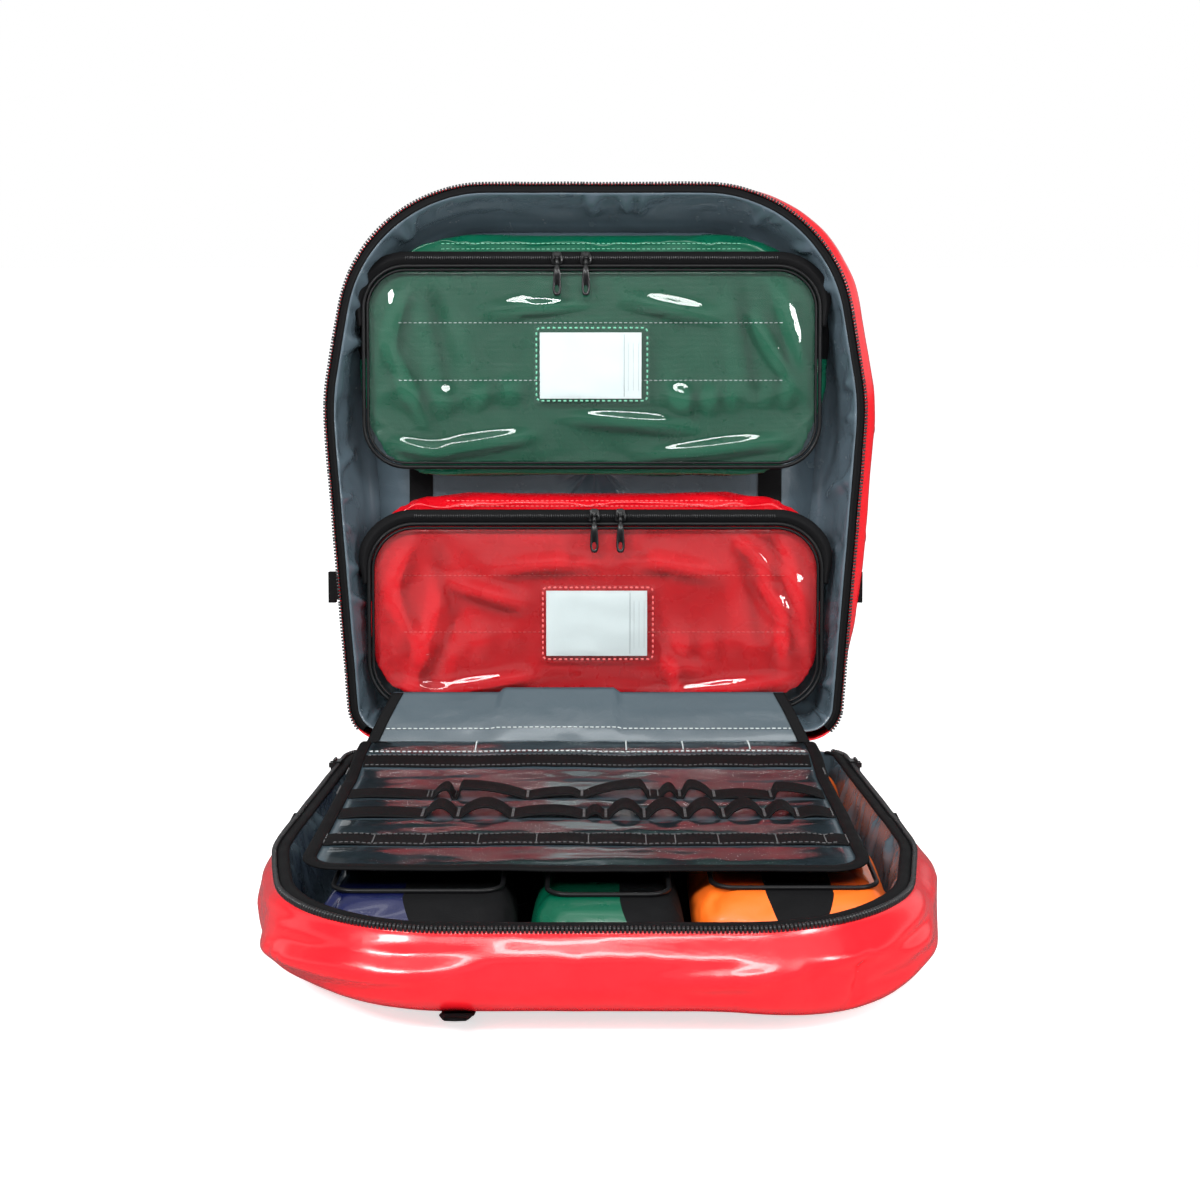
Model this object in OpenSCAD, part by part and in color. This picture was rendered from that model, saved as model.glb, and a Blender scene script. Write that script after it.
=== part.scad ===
// Clamshell trauma backpack, lying on its harness with the lid standing open.
// Millimetres, +Z up, origin on the floor under the middle of the object.
// +X is to the right, -Y is towards the person packing it, the hinge runs along X.

/* [Main size] */
// Length of each half from the hinge to the far rim
half_l = 465; // [440:1:490]
// Width of the rim at its widest
rim_w = 450; // [440:1:470]
// Width of the rim at the hinge
hinge_w = 414; // [406:1:420]
// Depth of each half, rim to outer panel
depth = 68; // [66:1:74]
// Height of the open rim above the floor
rim_z = 80; // [80:1:90]
// How far the standing lid leans back, in degrees
lean = 6; // [0:1:12]

/* [Walls] */
// Thickness of the coated outer wall
skin = 2; // [1.5:0.1:3]
// Width of the zip tape round the rim
tape_w = 8; // [6:0.5:9]

/* [Pouches in the lid] */
// Width of each lid pouch
pouch_w = 384; // [360:1:386]
// Depth of the window face behind the lid rim
pouch_face = 16.4; // [16.4:0.1:18]
// Width of a label card
card_w = 85; // [70:1:90]
// Height of a label card
card_h = 55; // [45:1:56]

/* [Loop flap] */
// Length of the flap from its hinge to its front edge
flap_l = 350; // [330:1:360]
// Width of the elastic bands
elastic_w = 26; // [18:1:30]

/* [Harness] */
// Width of a shoulder strap
strap_w = 62; // [50:1:66]
// Thickness of the back pad
pad_t = 11.7; // [10:0.1:11.7]

/* [Part to show] */
// One sub-part, or all of them

/* [Hidden] */
hinge_y = 176;
red = [0.86, 0.10, 0.14];
green = [0.02, 0.42, 0.29];
orange = [0.98, 0.38, 0.10];
navy = [0.10, 0.12, 0.36];
grey = [0.36, 0.43, 0.47];
black = [0.08, 0.08, 0.09];
clear = [0.80, 0.86, 0.88, 0.35];
// The rim is arcs of three circles on each side, joined by their common tangents
near_c = [hinge_w / 2 - 30, 32, 30];
side_c = [rim_w / 2 - 200, 275, 200];
far_c = [rim_w / 2 - 135, half_l - 125, 125];
function tangent(a, b) = atan2(a[1] - b[1], a[0] - b[0])
  + acos((b[2] - a[2]) / norm([a[0] - b[0], a[1] - b[1]]));
side_t = tangent(near_c, side_c);
far_t = tangent(side_c, far_c);
function arc(c, t0, t1, n) = [for (i = [0:n]) [c[0], c[1], c[2], t0 + (t1 - t0) * i / n]];
rim_right = concat(arc(near_c, -90, side_t, 8), arc(side_c, side_t, far_t, 3), arc(far_c, far_t, 90, 14));
rim_dirs = concat(rim_right,
  [for (i = [len(rim_right) - 1:-1:0]) let (q = rim_right[i]) [-q[0], q[1], q[2], 180 - q[3]]]);
// Pouch sections from back to front: half width, low edge, high edge, corner, depth
green_mid = -3;
green_out = [[165, 219, 419, 64, 57.5], [185, 224, 416, 78, 40], [pouch_w / 2 - 2, 231, 412, 60, 19]];
red_out = [[166, 47, 216, 34, 59], [182, 46, 213, 38, 40], [pouch_w / 2 - 1, 46, 199, 40, 19]];
blue_low = [-117, 66];
mid_low = [9, 52];
right_low = [130, 61];

// Each half is drawn in its own frame: x, distance from the hinge, minus depth behind the rim
module in_base() translate([0, hinge_y, rim_z]) mirror([0, 1, 0]) children();
module in_lid() translate([0, hinge_y, rim_z]) rotate([90 - lean, 0, 0]) children();

// Points of the rim moved out by o
function rim_outline(o) = [for (q = rim_dirs) [q[0] + (q[2] + o) * cos(q[3]), q[1] + (q[2] + o) * sin(q[3])]];

// A closed band round the rim with the cross-section p, a list of [outward, up]
module band(p) {
  m = len(p);
  n = len(rim_dirs);
  rings = [for (q = p) rim_outline(q[0])];
  polyhedron(
    points = [for (i = [0:n - 1]) for (j = [0:m - 1]) [rings[j][i][0], rings[j][i][1], p[j][1]]],
    faces = [for (i = [0:n - 1]) for (j = [0:m - 1])
      let (a = i * m + j, b = i * m + (j + 1) % m, e = (i + 1) % n)
      for (f = [[a, b, e * m + (j + 1) % m], [a, e * m + (j + 1) % m, e * m + j]]) f]);
}

// A solid through a list of equal-length outlines, each at its own height
module skin_over(outlines, heights) {
  n = len(outlines[0]);
  m = len(outlines);
  polyhedron(
    points = [for (k = [0:m - 1]) for (q = outlines[k]) [q[0], q[1], heights[k]]],
    faces = concat(
      [[for (i = [0:n - 1]) i]],
      [[for (i = [0:n - 1]) (m - 1) * n + n - 1 - i]],
      [for (k = [0:m - 2]) for (i = [0:n - 1])
        let (a = k * n + i, b = (k + 1) * n + i, c = (k + 1) * n + (i + 1) % n, d = k * n + (i + 1) % n)
        for (f = [[a, b, c], [a, c, d]]) f]));
}

// Rounded rectangle: half width, low edge, high edge, corner radius, middle
function pad_outline(w, r0, r1, c, mid) =
  [for (q = [0:3]) for (k = [0:5])
    let (t = q * 90 + k * 18, sx = (q == 0 || q == 3) ? 1 : -1, sy = q < 2 ? 1 : -1)
    [mid + sx * (w - c) + c * cos(t), (r0 + r1) / 2 + sy * ((r1 - r0) / 2 - c) + c * sin(t)]];

// A cushion through sections [half width, low, high, corner, depth]
module cushion(s, mid = 0, inset = 0, lift = 0)
  skin_over([for (q = s) pad_outline(q[0] - inset, q[1] + inset, q[2] - inset, max(4, q[3] - inset), mid)],
    [for (i = [0:len(s) - 1]) -s[i][4] + (i == 0 ? inset : 0) + (i == len(s) - 1 ? lift : 0)]);

module plate(w, r0, r1, c, mid, z0, z1)
  translate([0, 0, z0]) linear_extrude(z1 - z0) polygon(pad_outline(w, r0, r1, c, mid));

// ---------- shell of one half ----------
module gusset() band([[-skin, -8.2], [-skin, -50], [-13, 2 - depth], [-13, -depth], [-10, -depth],
  [-3, 6 - depth], [0, 16 - depth], [0, -8.2]]);
module panel() translate([0, 0, -depth]) linear_extrude(3) polygon(rim_outline(-13.3));
module lining() difference() {
  skin_over([rim_outline(-24), rim_outline(-19), rim_outline(-tape_w - 2)], [3.5 - depth, -38, -3.2]);
  skin_over([rim_outline(-25.5), rim_outline(-20.5), rim_outline(-tape_w - 3.5)], [5 - depth, -38, -3]);
}
module zip_tape() difference() {
  band([[-tape_w - 2, -2.8], [-tape_w - 2, -4.4], [-1.4, -6.6], [-1.4, -5]]);
  translate([-260, -50, -20]) cube([520, 62, 30]);
}
module zip_teeth() difference() {
  band([[-1, -6.4], [1, -6.4], [2, -4.4], [1, -2.4], [-1, -2.4]]);
  translate([-260, -50, -20]) cube([520, 62, 30]);
}

module base_panel() color(red) in_base() panel();
module base_gusset() color(red) in_base() gusset();
module base_lining() color(grey) in_base() lining();
module base_zip_tape() color(black) in_base() zip_tape();
module base_zip_teeth() color(black) in_base() zip_teeth();
module lid_panel() color(red) in_lid() panel();
module lid_gusset() color(red) in_lid() gusset();
module lid_lining() color(grey) in_lid() lining();
module lid_zip_tape() color(black) in_lid() zip_tape();
module lid_zip_teeth() color(black) in_lid() zip_teeth();
module hinge_tape() color(grey) translate([-170, hinge_y, rim_z]) rotate([0, 90, 0]) cylinder(h = 340, r = 1.5, $fn = 32);

// Webbing tab with half a side buckle, on both sides of a half, at distance r from the hinge
module side_tabs(r, z) for (s = [-1, 1]) translate([s * (214.4 + (r - 130) * 0.0736), r, z]) {
  translate([s > 0 ? 1 : -5, -10, -9]) cube([4, 20, 18]);
  translate([s > 0 ? 5.1 : -11.1, -13, -7]) cube([6, 26, 12]);
}
module base_side_tabs() color(black) in_base() side_tabs(180, -18);
module lid_side_tabs() color(black) in_lid() side_tabs(130, -26);

// Hook-and-loop strips on the lid's back wall that hold the pouches
module lid_loop_strips() color(black) in_lid() for (s = [-1, 1])
  translate([s * 150 - 10, 62, 5.2 - depth]) cube([20, 330, 1.8]);

// ---------- pouches in the base ----------
module low_body(p, r0, r1) cushion([[p[1] - 6, r0 + 6, r1 - 6, 28, 62.5], [p[1], r0, r1, 34, 50],
  [p[1], r0, r1, 34, 22], [p[1] - 5, r0 + 5, r1 - 5, 30, 8]], p[0]);
module low_window(p, r0, r1) plate(p[1] - 12, r0 + 12, r1 - 12, 16, p[0], -7.8, -6.8);
module blue_pouch_body() color(navy) in_base() low_body(blue_low, 34, 400);
module blue_pouch_window() color(clear) in_base() low_window(blue_low, 34, 400);
module small_green_pouch_body() color(green) in_base() low_body(mid_low, 30, 414);
module small_green_pouch_window() color(clear) in_base() low_window(mid_low, 30, 414);
module orange_front_pouch_body() color(orange) in_base() low_body(right_low, 226, 380);
module orange_front_pouch_window() color(clear) in_base() low_window(right_low, 226, 380);
module orange_back_pouch_body() color(orange) in_base() low_body([128, 56], 34, 218);
module orange_back_pouch_window() color(clear) in_base() low_window([128, 56], 34, 218);

// ---------- harness under the base ----------
module back_pad() color(black) in_base() cushion([[50, 74, 400, 24, 80], [54, 70, 404, 28, 77],
  [54, 70, 404, 28, 80.5 - pad_t]]);
// Shoulder strap: its middle swings out and back in along its length
function strap_mid(r) = 84 + 22 * sin((r - 110) * 0.52);
function strap_half(r) = strap_w / 2 - 12 * max(0, (220 - r) / 110);
function strap_outline(k, tip) = concat(
  [for (i = [0:12]) let (r = 110 + i * (tip - 110) / 12) [strap_mid(r) + strap_half(r) - k, r]],
  [for (i = [12:-1:0]) let (r = 110 + i * (tip - 110) / 12) [strap_mid(r) - strap_half(r) + k, r]]);
module strap(tip) translate([0, 0, -80]) linear_extrude(10) polygon(strap_outline(0, tip));
module shoulder_strap_left() color(black) in_base() mirror([1, 0, 0]) strap(466);
module shoulder_strap_right() color(black) in_base() strap(448);
module strap_webbing() color(black) in_base() for (s = [0, 1]) mirror([s, 0, 0])
  translate([0, 0, -76]) linear_extrude(2.4) polygon([[75, 86], [100, 86], [162, 20], [140, 8]]);
module ladder_locks() color(black) in_base() for (s = [0, 1]) mirror([s, 0, 0])
  translate([68, 88, -78]) cube([36, 20, 7]);
module grab_handle() color(black) in_base() translate([-45, 412, -72]) cube([90, 25, 3]);

// ---------- pouches in the lid ----------
// Front face of a pouch from low to high: window, then the zip above it
module face_piping(mid, r0, r1) for (f = [0, 1])
  difference() {
    translate([0, 0, -18.6]) linear_extrude(3.2) polygon(pad_outline(pouch_w / 2, r0, r1, 36, mid));
    translate([0, 0, -20]) linear_extrude(6) polygon(pad_outline(pouch_w / 2 - 4, r0 + 4, r1 - 4, 32, mid));
  }
module pouch_tray(s, mid) difference() {
  cushion(s, mid);
  cushion(s, mid, 2, 1);
}
module green_pouch_body() color(green) in_lid() pouch_tray(green_out, green_mid);
module red_pouch_body() color(red) in_lid() pouch_tray(red_out, 0);
module green_pouch_window() color(clear) in_lid()
  plate(pouch_w / 2 - 4.3, 235.3, 393.7, 31, green_mid, -pouch_face - 1, -pouch_face);
module red_pouch_window() color(clear) in_lid()
  plate(pouch_w / 2 - 4.3, 50.3, 179.7, 31, 0, -pouch_face - 1, -pouch_face);
module green_pouch_piping() color(black) in_lid() face_piping(green_mid, 231, 398);
module red_pouch_piping() color(black) in_lid() face_piping(0, 46, 184);
module green_pouch_zip_tape() color(black) in_lid() plate(164, 398.5, 412, 6, green_mid, -18, -16.4);
module red_pouch_zip_tape() color(black) in_lid() plate(164, 184.5, 198, 6, 0, -18, -16.4);
module label_pocket(x, r) plate(card_w / 2 + 6, r - card_h / 2 - 5, r + card_h / 2 + 5, 4, x, -15.4, -14.8);
module label_card(x, r) plate(card_w / 2, r - card_h / 2, r + card_h / 2, 2, x, -16.2, -15.6);
module green_label_pocket() color(clear) in_lid() label_pocket(-3, 317);
module green_label_card() color("white") in_lid() label_card(-4, 316);
module red_label_pocket() color(clear) in_lid() label_pocket(2, 100);
module red_label_card() color("white") in_lid() label_card(1, 100);

// Zip slider seen from outside: x along the zip, y up, z away from the tape
module slider() {
  translate([-4.5, -5, 0]) cube([9, 10, 1.8]);
  for (s = [-1, 1]) translate([s * 2.9 - 0.7, -2, 1.8]) cube([1.4, 4, 3.6]);
  translate([-3, 0, 3.6]) rotate([0, 90, 0]) cylinder(h = 6, r = 0.8, $fn = 32);
}
// Pull tab hanging from the slider's pin
module pull() difference() {
  union() {
    translate([-1.6, -6, 2.7]) cube([3.2, 6, 1.8]);
    translate([-1.6, 0, 3.6]) rotate([0, 90, 0]) cylinder(h = 3.2, r = 1.7, $fn = 32);
    translate([-3.3, -32, 2.7]) cube([6.6, 27, 1.8]);
  }
  translate([-3, 0, 3.6]) rotate([0, 90, 0]) cylinder(h = 6, r = 1.1, $fn = 32);
}
module at_face(x, r) in_lid() translate([x, r, -16]) children();
module green_slider_left() color(black) at_face(-32, 405) slider();
module green_slider_right() color(black) at_face(-8, 405) slider();
module green_pull_left() color(black) at_face(-32, 405) pull();
module green_pull_right() color(black) at_face(-8, 405) pull();
module red_slider_left() color(black) at_face(-1, 191) slider();
module red_slider_right() color(black) at_face(21, 191) slider();
module red_pull_left() color(black) at_face(-1, 191) pull();
module red_pull_right() color(black) at_face(21, 191) pull();

// Main zip slider round the teeth of the base rim, on the straight run beside the hinge
module at_rim() translate([208.53, 52, -4.4]) rotate([0, 0, side_t]) rotate([90, 0, 90]) children();
module main_slider() at_rim() {
  translate([0, 0, 2.4]) slider();
  difference() {
    translate([-5, -3.7, -2]) cube([10, 7.4, 5]);
    translate([-6, -2.5, -3]) cube([12, 5, 5.5]);
  }
}
module main_slider_right() color(black) in_base() main_slider();
module main_slider_left() color(black) in_base() mirror([1, 0, 0]) main_slider();
module main_pull_right() color(black) in_base() at_rim() translate([0, 0, 2.4]) pull();
module main_pull_left() color(black) in_base() mirror([1, 0, 0]) at_rim() translate([0, 0, 2.4]) pull();

// ---------- loop flap over the base ----------
// Flap outline: straight sides that spread towards the rounded front edge
function flap_outline(k) = concat(
  [[180 - k, 9 + k], [188 - k, 9 + flap_l - 34]],
  [for (t = [15:15:90]) [158 - 0.13 * k + (30 - k) * cos(t), flap_l - 25 + (34 - k) * sin(t)]],
  [for (t = [90:15:165]) [-170 + 0.13 * k + (30 - k) * cos(t), flap_l - 25 + (34 - k) * sin(t)]],
  [[-200 + k, 9 + flap_l - 34], [-192 + k, 9 + k]]);
module flap_sheet() color(grey) in_base() translate([0, 0, 1.4]) linear_extrude(1.2) polygon(flap_outline(9));
module flap_binding() color(black) in_base() translate([0, 0, 0.8]) linear_extrude(1.9) difference() {
  polygon(flap_outline(0));
  polygon(flap_outline(8.6));
}
module flap_clear_pockets() color(clear) in_base() for (p = [[20, 50], [106, 48], [242, 30], [313, 32]])
  translate([-181, p[0], 2.8]) cube([349, p[1], 0.6]);
module flap_elastic_bands() color(black) in_base() for (r = [75, 277])
  translate([-182, r, 2.7]) cube([352, elastic_w, 1.2]);
// Elastic sewn down at intervals and standing up between the seams
function wave(u) = 3.6 * pow(max(0, sin(u)), 0.7);
module loop_row(r, x0, pitch, count) translate([0, r + elastic_w, 2.7]) rotate([90, 0, 0])
  linear_extrude(elastic_w) polygon(concat(
    [for (i = [0:count * 8]) [x0 + i * pitch / 8, wave((i % 8) * 22.5)]],
    [for (i = [count * 8:-1:0]) [x0 + i * pitch / 8, wave((i % 8) * 22.5) + 1.1]]));
module flap_elastic_loops() color(black) in_base() {
  loop_row(158, -178, 43, 8);
  loop_row(210, -178, 31, 11);
}
// The flap's rear strip, sewn to the lid in front of the red pouch
module flap_anchor_strip() color(grey) in_lid() translate([0, 0, -14]) linear_extrude(1.6)
  polygon([[-176, 17], [172, 17], [152, 40], [24, 40], [21, 44], [-85, 44], [-88, 40], [-164, 40]]);

base_panel();
base_gusset();
base_lining();
base_zip_tape();
base_zip_teeth();
hinge_tape();
base_side_tabs();
blue_pouch_body();
blue_pouch_window();
small_green_pouch_body();
small_green_pouch_window();
orange_front_pouch_body();
orange_front_pouch_window();
orange_back_pouch_body();
orange_back_pouch_window();
back_pad();
shoulder_strap_left();
shoulder_strap_right();
strap_webbing();
ladder_locks();
grab_handle();
lid_panel();
lid_gusset();
lid_lining();
lid_zip_tape();
lid_zip_teeth();
lid_loop_strips();
lid_side_tabs();
flap_anchor_strip();
green_pouch_body();
green_pouch_window();
green_pouch_piping();
green_pouch_zip_tape();
green_label_pocket();
green_label_card();
green_slider_left();
green_slider_right();
green_pull_left();
green_pull_right();
red_pouch_body();
red_pouch_window();
red_pouch_piping();
red_pouch_zip_tape();
red_label_pocket();
red_label_card();
red_slider_left();
red_slider_right();
red_pull_left();
red_pull_right();
flap_sheet();
flap_binding();
flap_clear_pockets();
flap_elastic_bands();
flap_elastic_loops();
main_slider_left();
main_slider_right();
main_pull_left();
main_pull_right();
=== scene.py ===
import math
import random

import bmesh
import bpy
import numpy as np
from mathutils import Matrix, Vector, noise
from mathutils.bvhtree import BVHTree


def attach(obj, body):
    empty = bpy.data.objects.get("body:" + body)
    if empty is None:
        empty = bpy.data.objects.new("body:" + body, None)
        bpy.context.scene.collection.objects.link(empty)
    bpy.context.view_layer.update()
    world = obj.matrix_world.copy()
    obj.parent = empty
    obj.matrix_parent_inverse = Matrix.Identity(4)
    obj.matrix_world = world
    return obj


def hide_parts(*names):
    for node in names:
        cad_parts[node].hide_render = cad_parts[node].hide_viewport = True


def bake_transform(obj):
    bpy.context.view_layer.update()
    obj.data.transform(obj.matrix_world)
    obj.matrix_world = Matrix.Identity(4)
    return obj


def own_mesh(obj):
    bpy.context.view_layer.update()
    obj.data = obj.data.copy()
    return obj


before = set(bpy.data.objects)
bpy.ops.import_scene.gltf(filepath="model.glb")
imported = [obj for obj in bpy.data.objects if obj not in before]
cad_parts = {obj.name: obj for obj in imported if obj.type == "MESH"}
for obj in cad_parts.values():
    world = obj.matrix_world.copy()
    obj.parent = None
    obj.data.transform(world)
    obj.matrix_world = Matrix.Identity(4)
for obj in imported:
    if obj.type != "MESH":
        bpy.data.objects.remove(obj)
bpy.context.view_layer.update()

MM = 0.001
HINGE_Y, RIM_Z, LEAN = 176.0, 80.0, math.radians(6)


# ---------- the two halves' frames: x, r away from the hinge, z above the rim plane (mm) ----------
def base_pt(x, r, z):
    return (x * MM, (HINGE_Y - r) * MM, (RIM_Z + z) * MM)


def lid_pt(x, r, z):
    return (x * MM, (HINGE_Y + r * math.sin(LEAN) - z * math.cos(LEAN)) * MM,
            (RIM_Z + r * math.cos(LEAN) + z * math.sin(LEAN)) * MM)


def sm(a, b, x):
    t = min(1.0, max(0.0, (x - a) / (b - a)))
    return t * t * (3 - 2 * t)


def nz(x, y, z=0.0):
    return noise.noise(Vector((x, y, z)))


# ---------- the rim path ----------
def rim_path(count):
    near, side, far = (177, 32, 30), (25, 275, 200), (90, 340, 125)

    def tangent(a, b):
        return math.atan2(a[1] - b[1], a[0] - b[0]) + math.acos(
            (b[2] - a[2]) / math.hypot(a[0] - b[0], a[1] - b[1]))

    t1, t2 = tangent(near, side), tangent(side, far)
    right = []
    for c, a, b, n in ((near, -math.pi / 2, t1, 24), (side, t1, t2, 12), (far, t2, math.pi / 2, 40)):
        for i in range(n + 1):
            t = a + (b - a) * i / n
            right.append((c[0] + c[2] * math.cos(t), c[1] + c[2] * math.sin(t), math.cos(t), math.sin(t)))
    pts = [(0, 2, 0, -1)] + right + [(-p[0], p[1], -p[2], p[3]) for p in reversed(right)] + [(0, 2, 0, -1)]
    p = np.array(pts)
    s = np.concatenate([[0], np.cumsum(np.hypot(*np.diff(p[:, :2], axis=0).T))])
    at = np.linspace(0, s[-1], count, endpoint=False)
    out = np.stack([np.interp(at, s, p[:, k]) for k in range(4)], axis=1)
    out[:, 2:] /= np.linalg.norm(out[:, 2:], axis=1)[:, None]
    return out, at, s[-1]


RIM, RIM_S, RIM_LEN = rim_path(1000)


# ---------- mesh helpers ----------
def new_mesh(name, verts, faces, mats=(), smooth=True):
    me = bpy.data.meshes.new(name)
    me.from_pydata([tuple(v) for v in verts], [], faces)
    me.validate()
    me.update()
    if smooth:
        me.polygons.foreach_set("use_smooth", [True] * len(me.polygons))
    for m in mats:
        me.materials.append(m)
    o = bpy.data.objects.new(name, me)
    bpy.context.scene.collection.objects.link(o)
    return o


def grid_faces(nu, nv, closed_u=False, closed_v=False, start=0, flip=False):
    out = []
    for i in range(nu if closed_u else nu - 1):
        for j in range(nv if closed_v else nv - 1):
            a, b = i * nv + j, i * nv + (j + 1) % nv
            e = (i + 1) % nu
            q = (start + a, start + b, start + e * nv + (j + 1) % nv, start + e * nv + j)
            out.append(q[::-1] if flip else q)
    return out


def wear(o, body, slot, *nodes):
    """Says which body carries a piece and the CAD nodes it stands for; slot, its material slot, is not
    used.
    """
    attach(o, body)
    if nodes:
        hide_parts(*nodes)


def weld(o, gap):
    """Joins the points of a ring that has shrunk to one place."""
    o.modifiers.new("weld", "WELD").merge_threshold = gap
    return bake(o)


def solidify(o, t, offset=-1):
    m = o.modifiers.new("thick", "SOLIDIFY")
    m.thickness, m.offset = t * MM, offset
    return o


def subdiv(o, n=1):
    m = o.modifiers.new("smooth", "SUBSURF")
    m.levels = m.render_levels = n
    return o


def bake(o):
    """Applies the modifiers for good."""
    dg = bpy.context.evaluated_depsgraph_get()
    me = bpy.data.meshes.new_from_object(o.evaluated_get(dg))
    o.modifiers.clear()
    o.data = me
    return o


def tree_of(*objs):
    dg = bpy.context.evaluated_depsgraph_get()
    dg.update()
    verts, faces = [], []
    for o in objs:
        me = o.evaluated_get(dg).to_mesh()
        k = len(verts)
        verts += [v.co.copy() for v in me.vertices]
        faces += [tuple(k + i for i in p.vertices) for p in me.polygons]
    return BVHTree.FromPolygons(verts, faces)


def tube_verts(path, radius, sides=8, closed=True):
    """Verts and faces of a tube along 3-D points."""
    n = len(path)
    p = [Vector(q) for q in path]
    verts, faces = [], []
    up = None
    for i in range(n):
        a = p[(i - 1) % n] if (closed or i > 0) else p[i]
        b = p[(i + 1) % n] if (closed or i < n - 1) else p[i]
        t = (b - a).normalized()
        if up is None:
            up = t.orthogonal().normalized()
        up = (up - t * up.dot(t)).normalized()
        w = t.cross(up)
        for k in range(sides):
            c = 2 * math.pi * k / sides
            verts.append(p[i] + (up * math.cos(c) + w * math.sin(c)) * radius)
    faces = grid_faces(n, sides, closed, True, flip=True)
    if not closed:
        faces += [tuple(range(sides)), tuple(reversed(range((n - 1) * sides, n * sides)))]
    return verts, faces


def join(parts):
    verts, faces = [], []
    for v, f in parts:
        k = len(verts)
        verts += list(v)
        faces += [tuple(i + k for i in q) for q in f]
    return verts, faces


def bar(c, u, v, w, a, b, d):
    """A small chamfered bar: centre, three unit axes, half sizes."""
    verts = []
    for s, k in ((-1, 0.72), (-0.6, 1), (0.6, 1), (1, 0.72)):
        for x, y in ((-1, -1), (1, -1), (1, 1), (-1, 1)):
            verts.append(c + u * (a * s) + v * (b * k * x) + w * (d * k * y))
    faces = grid_faces(4, 4, False, True, flip=True) + [(0, 1, 2, 3), (15, 14, 13, 12)]
    return verts, faces


def pad_outline(w, r0, r1, c, mid, n=12, edge=14):
    """Points and normals round a rounded rectangle, with points along its straight edges too."""
    pts = []
    hr, cr = (r1 - r0) / 2, (r0 + r1) / 2
    for q in range(4):
        sx, sy = (1, -1, -1, 1)[q], (1, 1, -1, -1)[q]
        for k in range(n + 1):
            t = math.radians(q * 90 + k * 90 / n)
            pts.append((mid + sx * (w - c) + c * math.cos(t), cr + sy * (hr - c) + c * math.sin(t),
                        math.cos(t), math.sin(t)))
        nxt = (q + 1) * 90
        t = math.radians(nxt)
        a = pts[-1]
        sx2, sy2 = (1, -1, -1, 1)[(q + 1) % 4], (1, 1, -1, -1)[(q + 1) % 4]
        b = (mid + sx2 * (w - c) + c * math.cos(t), cr + sy2 * (hr - c) + c * math.sin(t))
        for k in range(1, edge):
            f = k / edge
            pts.append((a[0] + (b[0] - a[0]) * f, a[1] + (b[1] - a[1]) * f, math.cos(t), math.sin(t)))
    return pts


# ---------- materials ----------
def put(tree, kind, values=None, links=None, **settings):
    """Adds a shader node, sets it and its inputs, and links outputs into it."""
    n = tree.nodes.new("ShaderNode" + kind)
    for k, v in settings.items():
        setattr(n, k, v)
    for k, v in (values or {}).items():
        n.inputs[k].default_value = v
    for k, v in (links or {}).items():
        tree.links.new(v, n.inputs[k])
    return n


def bumped(tree, height, strength, distance, below=None):
    links = {"Height": height}
    if below:
        links["Normal"] = below.outputs["Normal"]
    return put(tree, "Bump", {"Strength": strength, "Distance": distance}, links)


def mat(name, color, rough=0.4, coat=0.0, spec=0.5, vary=0.12, grain=900, bump=0.12,
        wrinkle=0.0, rough_vary=0.12, weave=0.0, weave_scale=700, sheen=0.0):
    """Cloth, plastic or paint: colour and gloss wander, with a fine grain, a weave and wrinkles."""
    m = bpy.data.materials.new(name)
    m.use_nodes = True
    nt = m.node_tree
    b = nt.nodes["Principled BSDF"]
    for k, v in (("Metallic", 0.0), ("Coat Weight", coat), ("Coat Roughness", 0.08),
                 ("Specular IOR Level", spec), ("Sheen Weight", sheen)):
        b.inputs[k].default_value = v
    at = put(nt, "TexCoord").outputs["Object"]

    def cloud(scale, detail, distortion=0.0):
        values = {"Scale": scale, "Detail": detail, "Distortion": distortion}
        return put(nt, "TexNoise", values, {"Vector": at}).outputs["Fac"]

    def sums(operation, *sockets):
        return put(nt, "Math", links=dict(enumerate(sockets)), operation=operation)

    shades = {"A": (*[c * (1 - vary) for c in color], 1),
            "B": (*[min(1, c * (1 + vary)) for c in color], 1)}
    mix = put(nt, "Mix", shades, {"Factor": cloud(14, 3)}, data_type="RGBA")
    nt.links.new(mix.outputs["Result"], b.inputs["Base Color"])
    gloss = put(nt, "MapRange", {"To Min": max(0.02, rough - rough_vary),
            "To Max": min(1, rough + rough_vary)},
                {"Value": cloud(60, 4)})
    nt.links.new(gloss.outputs["Result"], b.inputs["Roughness"])
    height = grains = cloud(grain, 2)
    if weave:
        waves = [put(nt, "TexWave", {"Scale": weave_scale, "Distortion": 0.4}, {"Vector": at},
                     bands_direction=d).outputs["Fac"] for d in ("X", "Y", "Z")]
        crossed = sums("ADD", sums("MULTIPLY", waves[0], waves[2]).outputs[0], waves[1])
        woven = sums("MULTIPLY_ADD", crossed.outputs[0])
        woven.inputs[1].default_value = weave
        nt.links.new(grains, woven.inputs[2])
        height = woven.outputs[0]
    last = bumped(nt, height, bump, 0.0004)
    if wrinkle:
        last = bumped(nt, cloud(45, 5, 0.8), wrinkle, 0.004, last)
    nt.links.new(last.outputs["Normal"], b.inputs["Normal"])
    return m


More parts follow.
